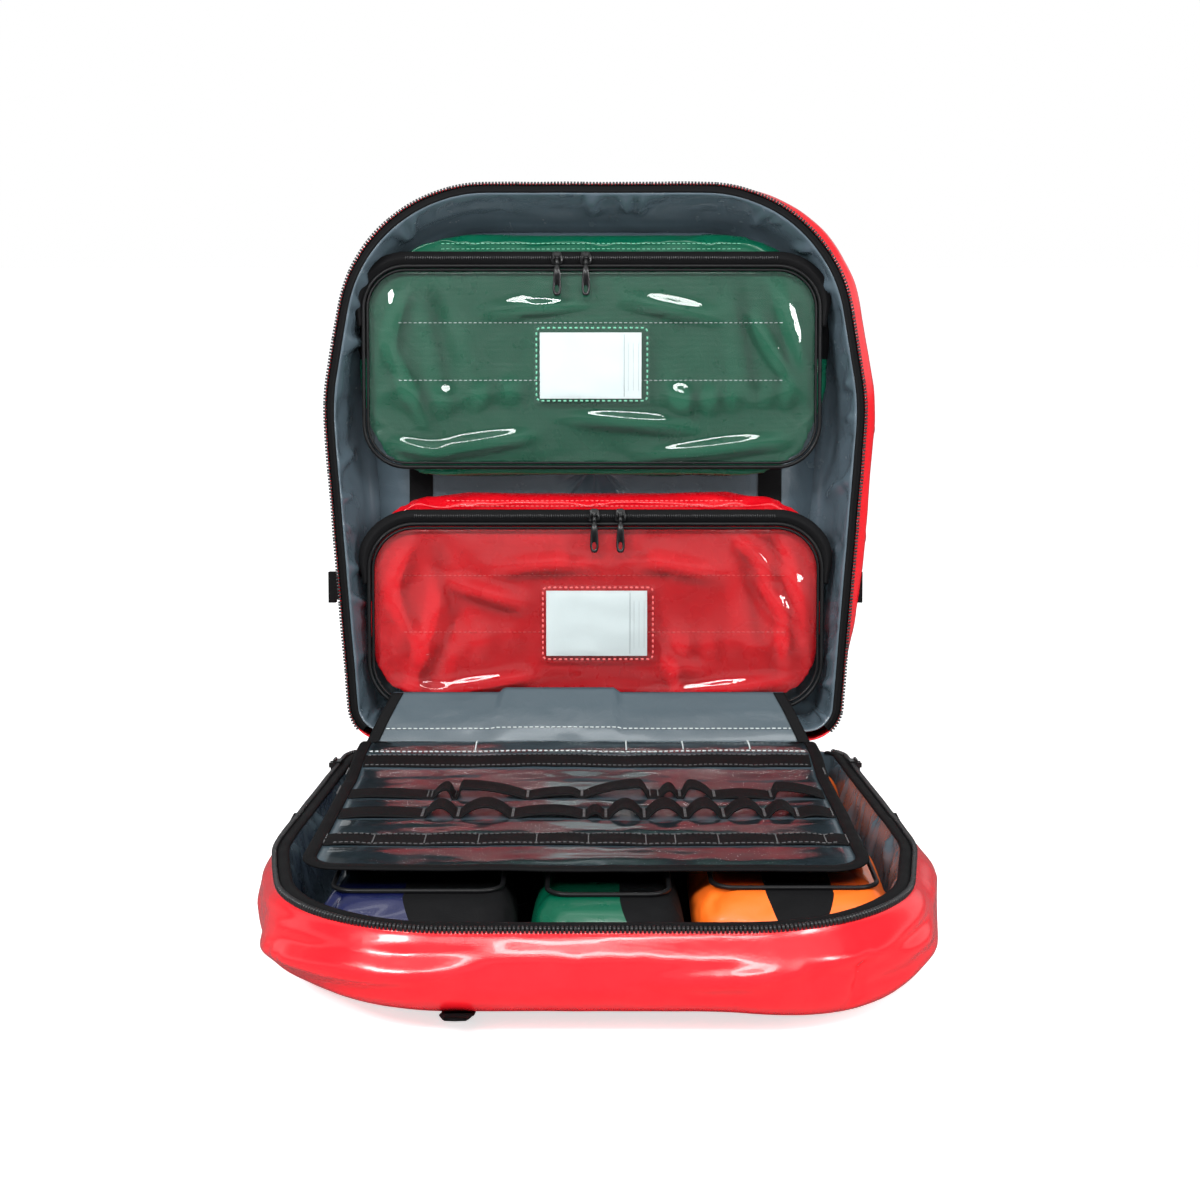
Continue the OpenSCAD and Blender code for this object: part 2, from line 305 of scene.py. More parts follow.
def vinyl(name, tint=(0.97, 0.985, 0.98), ior=1.5, bump=0.03, rough=0.03):
    """Clear flexible vinyl: see-through, with crisp highlights."""
    m = bpy.data.materials.new(name)
    m.use_nodes = True
    nt = m.node_tree
    nt.nodes.remove(nt.nodes["Principled BSDF"])
    at = put(nt, "TexCoord").outputs["Object"]
    waves = put(nt, "TexNoise", {"Scale": 26, "Detail": 2, "Distortion": 0.5}, {"Vector": at})
    normal = bumped(nt, waves.outputs["Fac"], bump, 0.004).outputs["Normal"]
    clear = put(nt, "BsdfTransparent", {"Color": (*tint, 1)})
    gloss = put(nt, "BsdfGlossy", {"Color": (0.95, 0.97, 0.97, 1), "Roughness": rough}, {"Normal": normal})
    share = put(nt, "Fresnel", {"IOR": ior}, {"Normal": normal})
    both = put(nt, "MixShader", links={0: share.outputs[0], 1: clear.outputs[0], 2: gloss.outputs[0]})
    nt.links.new(both.outputs[0], nt.nodes["Material Output"].inputs["Surface"])
    return m


RED = mat("red_pvc", (0.80, 0.008, 0.016), 0.2, coat=0.5, wrinkle=0.07, weave=0.5, vary=0.05)
RED_IN = mat("red_pouch_pvc", (0.62, 0.003, 0.010), 0.28, coat=0.3, wrinkle=0.1, weave=0.5, vary=0.06)
GREEN = mat("green_pvc", (0.0, 0.088, 0.044), 0.3, coat=0.3, wrinkle=0.12, weave=0.5, vary=0.1)
ORANGE = mat("orange_nylon", (1.0, 0.155, 0.008), 0.5, coat=0.1, wrinkle=0.12, weave=0.9, vary=0.05)
NAVY = mat("navy_pvc", (0.005, 0.008, 0.055), 0.22, coat=0.7, wrinkle=0.35, weave=0.5, vary=0.1)
GREY = mat("grey_pvc", (0.082, 0.115, 0.14), 0.24, coat=0.35, wrinkle=0.2, weave=0.4, vary=0.1)
GREY_FLAP = mat("grey_flap_pvc", (0.046, 0.070, 0.086), 0.34, coat=0.15, spec=0.35, wrinkle=0.2, weave=0.4,
        vary=0.1)
BLACK = mat("black_webbing", (0.005, 0.005, 0.0055), 0.7, spec=0.1, weave=0.8, weave_scale=420, bump=0.2)
TAPE = mat("zip_tape_weave", (0.005, 0.005, 0.0055), 0.65, spec=0.1, weave=0.8, weave_scale=500, bump=0.2)
COIL = mat("zip_coil_nylon", (0.012, 0.012, 0.013), 0.3, spec=0.5, bump=0.05)
PIPING = mat("black_piping", (0.005, 0.005, 0.0055), 0.4, spec=0.22, bump=0.05)
METAL = mat("black_enamel", (0.006, 0.006, 0.0065), 0.32, spec=0.35, coat=0.1, bump=0.04)
PLASTIC = mat("black_moulded", (0.007, 0.007, 0.0075), 0.45, spec=0.25, bump=0.12, grain=1600)
MESH = mat("spacer_mesh", (0.008, 0.008, 0.009), 0.75, spec=0.15, weave=1.6, weave_scale=220, bump=0.5)
ELASTIC = mat("elastic", (0.005, 0.005, 0.0055), 0.7, spec=0.1, weave=1.0, weave_scale=330, bump=0.2)
CARD = mat("card", (0.76, 0.81, 0.82), 0.35, vary=0.02, bump=0.03)
CARD_INK = mat("card_ink", (0.35, 0.38, 0.40), 0.5, vary=0.02, bump=0.02)
THREAD_W = mat("pale_thread", (0.55, 0.62, 0.62), 0.6, sheen=0.3, bump=0.2)
THREAD_G = mat("green_thread", (0.12, 0.42, 0.27), 0.6, sheen=0.3, bump=0.2)
THREAD_R = mat("red_thread", (0.75, 0.10, 0.10), 0.6, sheen=0.3, bump=0.2)
THREAD_K = mat("black_thread", (0.03, 0.03, 0.033), 0.55, sheen=0.3, bump=0.2)
VINYL = vinyl("clear_vinyl")
VINYL_FLAP = vinyl("flap_vinyl", tint=(0.95, 0.96, 0.96), ior=1.6, bump=0.05, rough=0.12)
VINYL_DULL = vinyl("flap_rear_vinyl", tint=(0.93, 0.95, 0.96), ior=1.25, bump=0.05, rough=0.3)


# ---------- folds in a coated fabric wall ----------
def fold_field(folds):
    """folds: (s0, h0, s1, h1, width, amp) ridges in wall coordinates; returns a height function."""
    segs = [(np.array((a, b), float), np.array((c, d), float), w, k) for a, b, c, d, w, k in folds]

    def f(s, h):
        total = 0.0
        for p, q, w, k in segs:
            if abs(s - (p[0] + q[0]) / 2) > abs(q[0] - p[0]) / 2 + 3 * w:
                continue
            d = q - p
            t = ((s - p[0]) * d[0] + (h - p[1]) * d[1]) / (d @ d)
            u = min(1, max(0, t))
            gap = math.hypot(s - p[0] - d[0] * u, h - p[1] - d[1] * u)
            total += k * math.exp(-(gap / w) ** 2) * math.sin(math.pi
                    * min(1, max(0.04, 0.5 + (u - 0.5) * 0.92)))
        return total
    return f


def shell(name, pt, body, nodes, folds):
    """One half's outer skin, from under the zip to the middle of the outer panel."""
    f = fold_field(folds)
    base = pt is base_pt
    verts = []
    m, inner = 34, 7
    n = len(RIM)
    for i, (x, r, nx, nr) in enumerate(RIM):
        s = RIM_S[i]
        w = sm(25, 150, r)
        right = sm(-60, 200, x)
        front = sm(330, 440, r) * w
        if base:
            swell = w * (8.0 + 7.5 * right * (1 - 0.3 * front) + 1.0 * (1 - right))
            under = 30.0 * front * (1 - 0.75 * sm(70, 185, x))
            turn = 50 - 14 * front * (1 - sm(80, 190, x))
            drop = -3.0 * sm(60, 200, x) * front
        else:
            swell = w * (9.5 * sm(60, 215, x) - 1.0 * (1 - sm(60, 215, x)))
            under, turn, drop = 0, 52, 0
        col = []
        for k in range(m + 1):
            h = 5.5 + 62.5 * (k / m) ** 0.95
            d = swell * (sm(5, 24, h) * (1 - 0.45 * sm(36, 68, h)))
            q = min(1, max(0, (h - turn) / (68 - turn)))
            tuck = -(1 - math.sqrt(max(0, 1 - q * q))) * (14 + under + 0.45 * swell)
            side = w * sm(6, 16, h) * (1 - 0.8 * sm(60, 68, h))
            d += tuck + side * (f(s, h) + 1.5 * nz(s * 0.012, h * 0.03, 3.1) + 0.4
                    * nz(s * 0.05, h * 0.08, 9.7))
            z = -h + drop * sm(40, 66, h)
            col.append((x + nx * (d - 0.9), r + nr * (d - 0.9), z))
        ox, orr, oz = col[-1]
        for k in range(1, inner + 1):
            t = k / inner
            px, pr = ox * (1 - t), orr + (235 - orr) * t
            col.append((px, pr, oz * (1 - t) - 68.0 * t + 0.7 * nz(px * 0.012, pr * 0.012, 5)
                    * math.sin(math.pi * 0.5 * min(1, t * 2.4))))
        verts += [pt(*c) for c in col]
    o = new_mesh(name, verts, grid_faces(n, m + 1 + inner, True, False, flip=not base), [RED])
    weld(o, 0.0002)
    solidify(o, 1.2, -1)
    wear(o, body, "red_shell", *nodes)
    return o


def scattered_folds(count, h0, h1, width, amp, seed, slant=18):
    """Folds (place, height, place, height, width, rise) spread over a side wall."""
    rr = random.Random(seed)
    out = []
    for _ in range(count):
        s = RIM_LEN * rr.uniform(0.09, 0.91)
        dx = rr.uniform(-slant, slant)
        a, b = rr.uniform(h0, h0 + (h1 - h0) * 0.4), rr.uniform(h0 + (h1 - h0) * 0.6, h1)
        out.append((s, a, s + dx, b, width * rr.uniform(0.6, 1.5),
                amp * rr.uniform(0.4, 1.0) * rr.choice((1, 1, -0.7))))
    return out


def rim_s(x, r):
    d = (RIM[:, 0] - x) ** 2 + (RIM[:, 1] - r) ** 2
    return RIM_S[int(d.argmin())]


# Long soft folds across the front of the base, and a few at its corners
FL, FR, FM = rim_s(-178, 428), rim_s(178, 428), rim_s(0, 465)
base_folds = [
    (FM + 60, 18, FM + 220, 27, 6, -5.0), (FM + 70, 30, FM + 215, 40, 5, 4.5),
    (FL - 60, 22, FL + 90, 50, 6.5, 6.5),
    (FL - 80, 38, FL + 40, 58, 6, -4.5), (FL + 10, 14, FL + 90, 28, 6, -3.5),
    (FL - 110, 26, FL - 10, 28, 6, 4.0),
    (FR - 100, 20, FR + 40, 32, 6, -5.0), (FR - 70, 36, FR + 60, 22, 6, 5.5),
    (FR - 130, 44, FR - 10, 50, 6, 4.5),
    (FR - 60, 50, FR + 30, 44, 5, -3.5), (FR + 20, 20, FR + 26, 60, 5, -3.5),
    (FM - 150, 26, FM - 20, 36, 6, 3.5),
    (FM - 120, 46, FM - 20, 40, 6, -3.0), (FR + 60, 30, FR + 150, 42, 7, 3.4),
    (FL + 90, 48, FL + 170, 30, 7, 3.0),
] + scattered_folds(14, 14, 60, 5, 2.0, 3)
lid_folds = scattered_folds(30, 14, 60, 7, 2.6, 11, slant=50)
base_skin = shell("base_red_skin", base_pt, "base", ("base_gusset", "base_panel"), base_folds)
shell("lid_red_skin", lid_pt, "lid", ("lid_gusset", "lid_panel"), lid_folds)


def lining(name, pt, body, node, seed):
    prof = [(-7.6 if pt is lid_pt else -9.0, -3.2), (-9.0, -6), (-10.2, -10), (-11.2, -15), (-12.5, -20),
            (-14, -26), (-15.5, -32), (-17, -38),
            (-18.5, -44), (-20.5, -50), (-23, -56), (-27, -60.5), (-34, -63)]
    n, m = len(RIM), len(prof)
    rr = random.Random(seed)
    puckers = []
    for k in range(90):
        s = RIM_LEN * (k + rr.uniform(0.1, 0.9)) / 90
        puckers.append((s, 3, s + rr.uniform(-22, 22), rr.uniform(20, 55), rr.uniform(2.6, 5.5),
                rr.uniform(-0.7, 1.0)))
    f = fold_field([(a, b, c, d, w, k * 5.5) for a, b, c, d, w, k in puckers])
    verts = []
    for i, (x, r, nx, nr) in enumerate(RIM):
        s = RIM_S[i]
        for k, (o, z) in enumerate(prof):
            h = -z
            live = sm(4, 10, h) * (1 - sm(52, 62, h))
            d = o - live * (max(-1.2, f(s, h)) + 1.6 * nz(s * 0.03, h * 0.05, seed))
            if pt is base_pt:
                d -= 9 * sm(330, 440, r) * sm(40, 62, h)
            verts.append(pt(x + nx * d, r + nr * d, z))
    nv = 6
    faces = grid_faces(n, m, True, False, flip=(pt is base_pt))
    k0 = len(verts)
    for i, (x, r, nx, nr) in enumerate(RIM):
        k_in = 34 + (9 * sm(330, 440, r) if pt is base_pt else 0)
        ox, orr = x - nx * k_in, r - nr * k_in
        for k in range(nv):
            t = k / (nv - 1)
            px, pr = ox * (1 - t), orr + (235 - orr) * t
            verts.append(pt(px, pr, -63 - 0.8 * sm(0, 0.3, t) + 0.5 * nz(px * 0.03, pr * 0.03, seed)))
    faces += grid_faces(n, nv, True, False, start=k0, flip=(pt is base_pt))
    o = new_mesh(name, verts, faces, [GREY])
    solidify(o, 0.8, -1)
    wear(o, body, "grey_lining", node)
    return o


lining("base_grey_lining", base_pt, "base", "base_lining", 5)
lining("lid_grey_lining", lid_pt, "lid", "lid_lining", 8)


def zip_ring(prefix, pt, body, tape_node, teeth_node, wide, chunk):
    """Zip tape with its coil round the open sides of a half; it ends beside the hinge."""
    live = [i for i in range(len(RIM)) if RIM[i][1] > 9 or abs(RIM[i][0]) > 203]
    start = next(k for k in range(len(live)) if live[k] - live[k - 1] > 1 or k == 0)
    idx = live[start:] + live[:start]
    prof = [(-wide - 0.5, -4.2), (-wide - 0.3, -2.9), (-wide + 2.0, -2.6), (-5.0, -3.0), (-2.5, -3.9),
            (-1.2, -5.0),
            (-1.4, -6.4), (-4.5, -5.2), (-wide + 2, -4.4)]
    verts = []
    for i in idx:
        x, r, nx, nr = RIM[i]
        wob = 0.5 * nz(RIM_S[i] * 0.03, 2.2)
        for o, z in prof:
            verts.append(pt(x + nx * (o + wob), r + nr * (o + wob), z + 0.3 * nz(RIM_S[i] * 0.02, 7.7)))
    faces = grid_faces(len(idx), len(prof), False, True, flip=(pt is base_pt))
    tape = new_mesh(prefix + "_zip_tape_cloth", verts, faces, [TAPE])
    wear(tape, body, "black_webbing", tape_node)
    fine, _, length = rim_path(2400)
    parts = []
    pitch = 2.7
    s0 = min(RIM_S[i] for i in idx if RIM[i][0] > 0 and RIM[i][1] > 9) + 2
    s1 = max(RIM_S[i] for i in idx if RIM[i][0] < 0 and RIM[i][1] > 9) - 2
    s = s0
    while s < s1:
        k = int(s / length * len(fine)) % len(fine)
        x, r, nx, nr = fine[k]
        wob = 0.5 * nz(s * 0.03, 2.2)
        c = Vector(pt(x + nx * (0.1 + wob), r + nr * (0.1 + wob), -4.3))
        u = (Vector(pt(x + nx, r + nr, -4.3)) - Vector(pt(x, r, -4.3))).normalized()
        w = (Vector(pt(x, r, 1)) - Vector(pt(x, r, 0))).normalized()
        v = u.cross(w)
        parts.append(bar(c, w, v, u, 1.9 * chunk * MM, 0.85 * MM, 1.6 * chunk * MM))
        s += pitch
    verts, faces = join(parts)
    teeth = new_mesh(prefix + "_zip_coil", verts, faces, [COIL])
    wear(teeth, body, "zip_coil", teeth_node)


zip_ring("base", base_pt, "base", "base_zip_tape", "base_zip_teeth", 10, 1.1)
zip_ring("lid", lid_pt, "lid", "lid_zip_tape", "lid_zip_teeth", 7.4, 0.8)


# ---------- stitching laid on a surface ----------
def stitches(name, line, tree, toward, material, body, length=3.0, space=1.5, radius=0.4,
        lift=0.25):
    """Small thread bars along the 3-D polyline, dropped along `toward` on to the surface tree."""
    parts = []
    toward = Vector(toward).normalized()
    for pts in line:
        p = [Vector(q) for q in pts]
        seg = [0.0]
        for a, b in zip(p, p[1:]):
            seg.append(seg[-1] + (b - a).length)
        s = 0.0
        while s + length * MM < seg[-1]:
            ends = []
            for q in (s, s + length * MM):
                k = max(i for i in range(len(seg)) if seg[i] <= q)
                k = min(k, len(p) - 2)
                w = p[k].lerp(p[k + 1], (q - seg[k]) / max(1e-9, seg[k + 1] - seg[k]))
                hit = tree.ray_cast(w - toward * 0.05, toward, 0.12) if tree else (None,) * 4
                ends.append((hit[0] if hit[0] is not None else w) - toward * lift * MM)
            a, b = ends
            if (b - a).length < 2.2 * length * MM:
                u = (b - a).normalized()
                v = u.cross(toward).normalized()
                parts.append(bar((a + b) / 2, u, v, toward, (b - a).length / 2, radius * MM,
                        radius * MM * 0.8))
            s += (length + space) * MM
    verts, faces = join(parts)
    o = new_mesh(name, verts, faces, [material])
    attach(o, body)
    return o


# ---------- cloth-inflated cushions ----------
def inflate(o, pressure=4.0, cap=7.0, voxel=5.0):
    """Voxel remesh, then Blender's cloth with pressure; how far a point moves is capped."""
    m = o.modifiers.new("remesh", "REMESH")
    m.mode, m.voxel_size = "VOXEL", voxel * MM
    bake(o)
    rest = np.array([v.co[:] for v in o.data.vertices])
    scene = bpy.context.scene
    c = o.modifiers.new("cloth", "CLOTH")
    c.settings.use_pressure = True
    c.settings.uniform_pressure_force = pressure
    c.settings.effector_weights.gravity = 0
    c.settings.quality = 4
    c.settings.shrink_min = -0.03
    for f in range(1, 21):
        scene.frame_set(f)
    dg = bpy.context.evaluated_depsgraph_get()
    me = o.evaluated_get(dg).to_mesh()
    got = np.array([v.co[:] for v in me.vertices])
    o.modifiers.clear()
    if len(got) == len(rest) and np.isfinite(got).all():
        d = got - rest
        far = np.linalg.norm(d, axis=1)
        k = np.minimum(1, cap * MM / np.maximum(far, 1e-9))
        for v, p in zip(o.data.vertices, rest + d * k[:, None]):
            v.co = p
    scene.frame_set(1)
    o.data.polygons.foreach_set("use_smooth", [True] * len(o.data.polygons))
    subdiv(o, 1)
    return bake(o)


def cushion(name, pt, sections, mats, crown=6.0, mid=0.0):
    """A closed cushion through sections (half width, low, high, corner, depth), crowned at the front and
    flat at the back.
    """
    outl = [pad_outline(s[0], s[1], s[2], s[3], s[5] if len(s) > 5 else mid) for s in sections]
    n = len(outl[0])
    cols = []
    for o_, s in zip(outl, sections):
        cols.append([(q[0], q[1], -s[4]) for q in o_])
    verts, rings = [], 5
    first, last = sections[0], sections[-1]

    def cap(ring, z, amp, order):
        out = []
        c = (sum(q[0] for q in ring) / n, sum(q[1] for q in ring) / n)
        for k in order:
            t = k / rings
            out.append([(c[0] + (q[0] - c[0]) * t, c[1] + (q[1] - c[1]) * t, z + amp * (1 - t ** 2.4))
                    for q in ring])
        return out

    back = cap(cols[0], -first[4], 0.0, range(0, rings))
    front = cap(cols[-1], -last[4], crown, range(rings - 1, -1, -1))
    allr = back + cols + front
    for ring in allr:
        for q in ring:
            verts.append(pt(*q))
    faces = []
    m = len(allr)
    for k in range(m - 1):
        for i in range(n):
            a, b, c_, d = k * n + i, k * n + (i + 1) % n, (k + 1) * n + (i + 1) % n, (k + 1) * n + i
            faces.append((a, b, c_, d) if pt is lid_pt else (d, c_, b, a))
    o = new_mesh(name, verts, faces, mats)
    weld(o, 0.0001)
    return o


def split(o, *planes):
    """Cuts the mesh along the planes (point, normal), so colours can change on a clean line."""
    bm = bmesh.new()
    bm.from_mesh(o.data)
    for co, no in planes:
        bmesh.ops.bisect_plane(bm, geom=bm.verts[:] + bm.edges[:] + bm.faces[:], plane_co=co, plane_no=no)
    bm.to_mesh(o.data)
    bm.free()
    o.data.update()


def colour_faces(o, pick):
    """Gives each face the material index pick(centre) returns."""
    o.data.polygons.foreach_set("material_index", [pick(p.center) for p in o.data.polygons])


LID_OUT = Vector((0, -math.cos(LEAN), math.sin(LEAN)))
LID_UP = Vector((0, math.sin(LEAN), math.cos(LEAN)))
LID_O = Vector((0, HINGE_Y * MM, RIM_Z * MM))


def lid_local(p):
    """x, r, z of a world point in the lid's frame, in mm."""
    q = p - LID_O
    return q.x / MM, q.dot(LID_UP) / MM, q.dot(LID_OUT) / MM


def lid_pouch(c, sections, mid, win, label, card, black_from, fabric, thread, sliders, stitch_rows):
    """A lid pouch: padded body, clear window, piping, zip, label pocket and card."""
    body = f"{c}_pouch"
    pull_x = sum(sliders) / 2
    o = cushion(f"{c}_pouch_fabric", lid_pt, sections, [fabric, BLACK], crown=1.5, mid=mid)
    inflate(o, 3.0, 4.0, 5.0)
    zf = sections[-1][4]
    for v in o.data.vertices:
        x, r, z = lid_local(v.co)
        if z > -zf - 3.0:
            v.co -= LID_OUT * (z + zf + 3.0 - 1.2 * nz(x * 0.02, r * 0.03, 4)) * 0.55 * MM * sm(-zf - 3,
                    -zf, z) * 2
        x, r, z = lid_local(v.co)
        low = -22.5 if inside(x - mid, r, win[0], win[1], win[2], win[3]) else -19.2
        if z > low:
            v.co -= LID_OUT * (z - low) * MM
        elif low < -20 and z > -44:
            v.co -= LID_OUT * (z - low) * 0.75 * MM

    def pick(p):
        x, r, _ = lid_local(p)
        return 1 if abs(x - mid) > win[0] + 1 and r > black_from else 0

    split(o, (Vector(lid_pt(0, black_from, -40)), LID_UP),
            (Vector(((mid + win[0] + 1) * MM, 0, 0)), Vector((1, 0, 0))),
          (Vector(((mid - win[0] - 1) * MM, 0, 0)), Vector((1, 0, 0))))
    colour_faces(o, pick)
    wear(o, body, f"{c}_pouch", f"{c}_pouch_body")
    tree = tree_of(o)
    (w, r0, r1, cr) = win
    # window: a wrinkled clear sheet inside the piping
    creases = fold_field([(-w + 30, r1 - 6, -w + 4, r0 + 70, 7, 2.2),
            (-w + 8, r1 - 40, -w + 50, r0 + 30, 6, 1.8),
                          (w - 34, r1 - 8, w - 6, r0 + 66, 7, 2.4),
                          (w - 60, r1 - 30, w - 14, r0 + 60, 6, 1.8),
                          (-w * 0.72, r1 - 10, -w * 0.6, r0 + 40, 9, -1.8),
                          (w * 0.66, r1 - 14, w * 0.74, r0 + 50, 8, -1.8),
                          (w * 0.2, r0 + 6, w * 0.9, r0 + 22, 6, 2.0),
                          (-w * 0.8, r0 + 10, -w * 0.25, r0 + 26, 6, 1.9),
                          (-w * 0.2, r0 + 46, w * 0.5, r0 + 30, 7, 1.6),
                          (-w * 0.5, r1 - 34, 0, r1 - 26, 8, 1.5),
                          (w * 0.1, r1 - 22, w * 0.6, r1 - 40, 8, 1.5),
                          (-w + 10, r0 + 20, -w + 70, r0 + 8, 5, 2.0)])
    swoops = fold_field([(-w + 26, r0 + 4, -w + 58, r1 - 44, 8, 3.4),
            (-w + 58, r1 - 44, -w * 0.3, r1 - 66, 8, 2.6),
                         (-w + 40, r0 + 8, -w + 76, r1 - 62, 6, -2.4),
                         (w * 0.26, r0 + 62, w * 0.4, r0 + 4, 6, 2.8),
                         (w - 70, r1 - 6, w - 34, r1 - 46, 5, 3.0),
                         (w - 34, r1 - 46, w - 28, r0 + 30, 6, 2.6),
                         (w - 48, r1 - 4, w - 18, r1 - 40, 4, -2.4),
                         (w - 18, r1 - 40, w - 10, r0 + 40, 5, 2.6),
                         (-w + 12, r1 - 12, -w + 20, r0 + 50, 5, 2.6)])
    verts, faces = [], []
    ring = pad_outline(w, r0, r1, cr, mid, n=14, edge=110)
    rc = ((r0 + r1) / 2)
    rings_n = 52
    for k in range(rings_n + 1):
        t = 1 - (k / rings_n)
        for q in ring:
            x, r = mid + (q[0] - mid) * t, rc + (q[1] - rc) * t
            live = 1 - sm(0.86, 1.0, t)
            flat = 1 - 0.8 * (1 - sm(0, 12, max(abs(x - label[0]) - 52, abs(r - label[1]) - 36)))
            free = 1 - sm(18, 30, r - r1 + 50) * sm(0, 12, 40 - abs(x - pull_x))
            low_wave = 2.6 * math.exp(-((r - r0 - 0.36 * (r1 - r0) - 9
                    * nz(x * 0.02, 3.3)) / 11) ** 2) * (0.3 + abs(nz(x * 0.035, 8.1 + w)) * 2.4)
            h = (creases(x - mid, r) * 1.5 + 1.5 * nz(x * 0.008, r * 0.012, 6 + w) + 0.5
                    * nz(x * 0.03, r * 0.03, 2 + w)
                 + low_wave * (0.35 if c == "red" else 0.8) + (swoops(x - mid, r) if c == "red" else 0))
            z = -17.0 + live * flat * free * max(-4.2, min(4.6, h))
            verts.append(lid_pt(x, r, z))
    nr = len(ring)
    for k in range(rings_n):
        for i in range(nr):
            a, b = k * nr + i, k * nr + (i + 1) % nr
            faces.append((a, b, b + nr, a + nr))
    sheet = new_mesh(f"{c}_window_vinyl", verts, faces, [VINYL])
    weld(sheet, 0.0001)
    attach(sheet, body)
    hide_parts(f"{c}_pouch_window")
    # piping: a fat bead with a thinner one inside it
    parts = []
    for off, rad, z in ((2.6, 1.7, -16.6), (-0.8, 1.2, -16.4)):
        path = [lid_pt(q[0] + q[2] * off, q[1] + q[3] * off, z + 0.5 * nz(q[0] * 0.02, q[1] * 0.02, 5))
                for q in pad_outline(w, r0, r1, cr, mid, n=14, edge=30)]
        parts.append(tube_verts(path, rad * MM, 8))
    verts, faces = join(parts)
    pipe = new_mesh(f"{c}_window_piping", verts, faces, [PIPING])
    wear(pipe, body, "black_piping", f"{c}_pouch_piping")
    # zip tape over the window and round its upper corners
    path = [q for q in pad_outline(w, r0, r1, cr, mid, n=14, edge=40) if q[1] > r1 - 48]
    k = max(range(len(path)), key=lambda i: math.hypot(path[i][0] - path[i - 1][0],
            path[i][1] - path[i - 1][1]))
    path = path[k:] + path[:k]
    verts = []
    prof = ((4.0, -18.4), (4.2, -17.1), (8.6, -17.0), (9.4, -16.4), (10.0, -17.0), (14.2, -17.6),
            (14.6, -19.6))
    for q in path:
        u = sm(r1 - 48, r1 - 16, q[1])
        for off, z in prof:
            o_ = 4.0 + (off - 4.0) * (0.35 + 0.65 * u)
            verts.append(lid_pt(q[0] + q[2] * o_ * 0.98, q[1] + q[3] * o_ * 0.98, z))
    faces = grid_faces(len(path), len(prof), False, False, flip=True)
    tape = new_mesh(f"{c}_pouch_zip_cloth", verts, faces, [TAPE])
    solidify(tape, 0.6, -1)
    wear(tape, body, "black_webbing", f"{c}_pouch_zip_tape")
    parts = []
    x = mid - w + cr
    while x < mid + w - cr:
        cpt = Vector(lid_pt(x, r1 + 9.3, -16.5))
        parts.append(bar(cpt, LID_UP, Vector((1, 0, 0)), LID_OUT, 1.5 * MM, 0.5 * MM, 0.7 * MM))
        x += 1.8
    verts, faces = join(parts)
    teeth = new_mesh(f"{c}_pouch_zip_coil", verts, faces, [COIL])
    wear(teeth, body, "zip_coil")
    # label pocket, its card and its stitched border
    lx, lr, lw, lh = label
    verts = []
    nx_, nr_ = 24, 16
    for i in range(nx_ + 1):
        for j in range(nr_ + 1):
            u, v = i / nx_, j / nr_
            edge = min(u, 1 - u, v, 1 - v)
            verts.append(lid_pt(lx + (u - 0.5) * lw, lr + (v - 0.5) * lh,
                                -15.2 + 0.5 * sm(0, 0.15, edge) + 0.35 * nz(u * 5, v * 4, w)
                                * sm(0, 0.1, edge)))
    pocket = new_mesh(f"{c}_label_vinyl", verts, grid_faces(nx_ + 1, nr_ + 1, flip=True), [VINYL])
    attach(pocket, body)
    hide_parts(f"{c}_label_pocket")
    cx_, cr_, cw, ch = card
    verts = [lid_pt(cx_ + a * cw / 2, cr_ + b * ch / 2, z) for z in (-16.15, -15.65) for a,
            b in ((-1, -1), (1, -1), (1, 1), (-1, 1))]
    faces = [(3, 2, 1, 0), (4, 5, 6, 7), (0, 1, 5, 4), (1, 2, 6, 5), (2, 3, 7, 6), (3, 0, 4, 7)]
    cd = new_mesh(f"{c}_card_paper", verts, faces, [CARD], smooth=False)
    wear(cd, body, "label_card", f"{c}_label_card")
    parts = [bar(Vector(lid_pt(cx_ + cw * 0.33, cr_, -15.55)), LID_UP, Vector((1, 0, 0)), LID_OUT,
            ch * 0.47 * MM, 0.22 * MM, 0.1 * MM)]
    parts += [bar(Vector(lid_pt(cx_ + cw * (0.37 + 0.05 * k), cr_ - ch * 0.02, -15.55)), LID_UP,
            Vector((1, 0, 0)), LID_OUT,
                  ch * 0.36 * MM, 0.1 * MM, 0.1 * MM) for k in range(3)]
    verts, faces = join(parts)
    ink = new_mesh(f"{c}_card_lines", verts, faces, [CARD_INK])
    wear(ink, body, "label_card")
    rr_ = pad_outline(lw / 2 - 2.2, lr - lh / 2 + 2.2, lr + lh / 2 - 2.2, 3, lx, n=4, edge=10)
    loop = [lid_pt(q[0], q[1], -14.9) for q in rr_]
    stitches(f"{c}_label_stitching", [loop + loop[:1]], None, -LID_OUT, thread, body, length=2.6, space=2.0,
            radius=0.75, lift=0.0)
    # rows of stitching on the fabric behind the window, and along the top band
    lines = [[lid_pt(x, r, -10) for x in np.linspace(mid - w + 26, mid + w - 26, 60)] for r in stitch_rows]
    stitches(f"{c}_panel_stitching", lines, tree, -LID_OUT, THREAD_W if c == "green" else THREAD_R, body,
             length=2.6, space=1.6, radius=0.35)
    top = [[lid_pt(x, r, 0) for x in np.linspace(mid - w + 62, mid + w - 62, 60)]
            for r in (r1 + 17.5, r1 + 22.0)]
    stitches(f"{c}_top_stitching", top, tree, -LID_OUT, thread, body, length=2.6, space=1.6, radius=0.35)
    return o


def inside(x, r, w, r0, r1, c):
    dx = max(0, abs(x) - (w - c))
    dr = max(0, abs(r - (r0 + r1) / 2) - ((r1 - r0) / 2 - c))
    return math.hypot(dx, dr) <= c


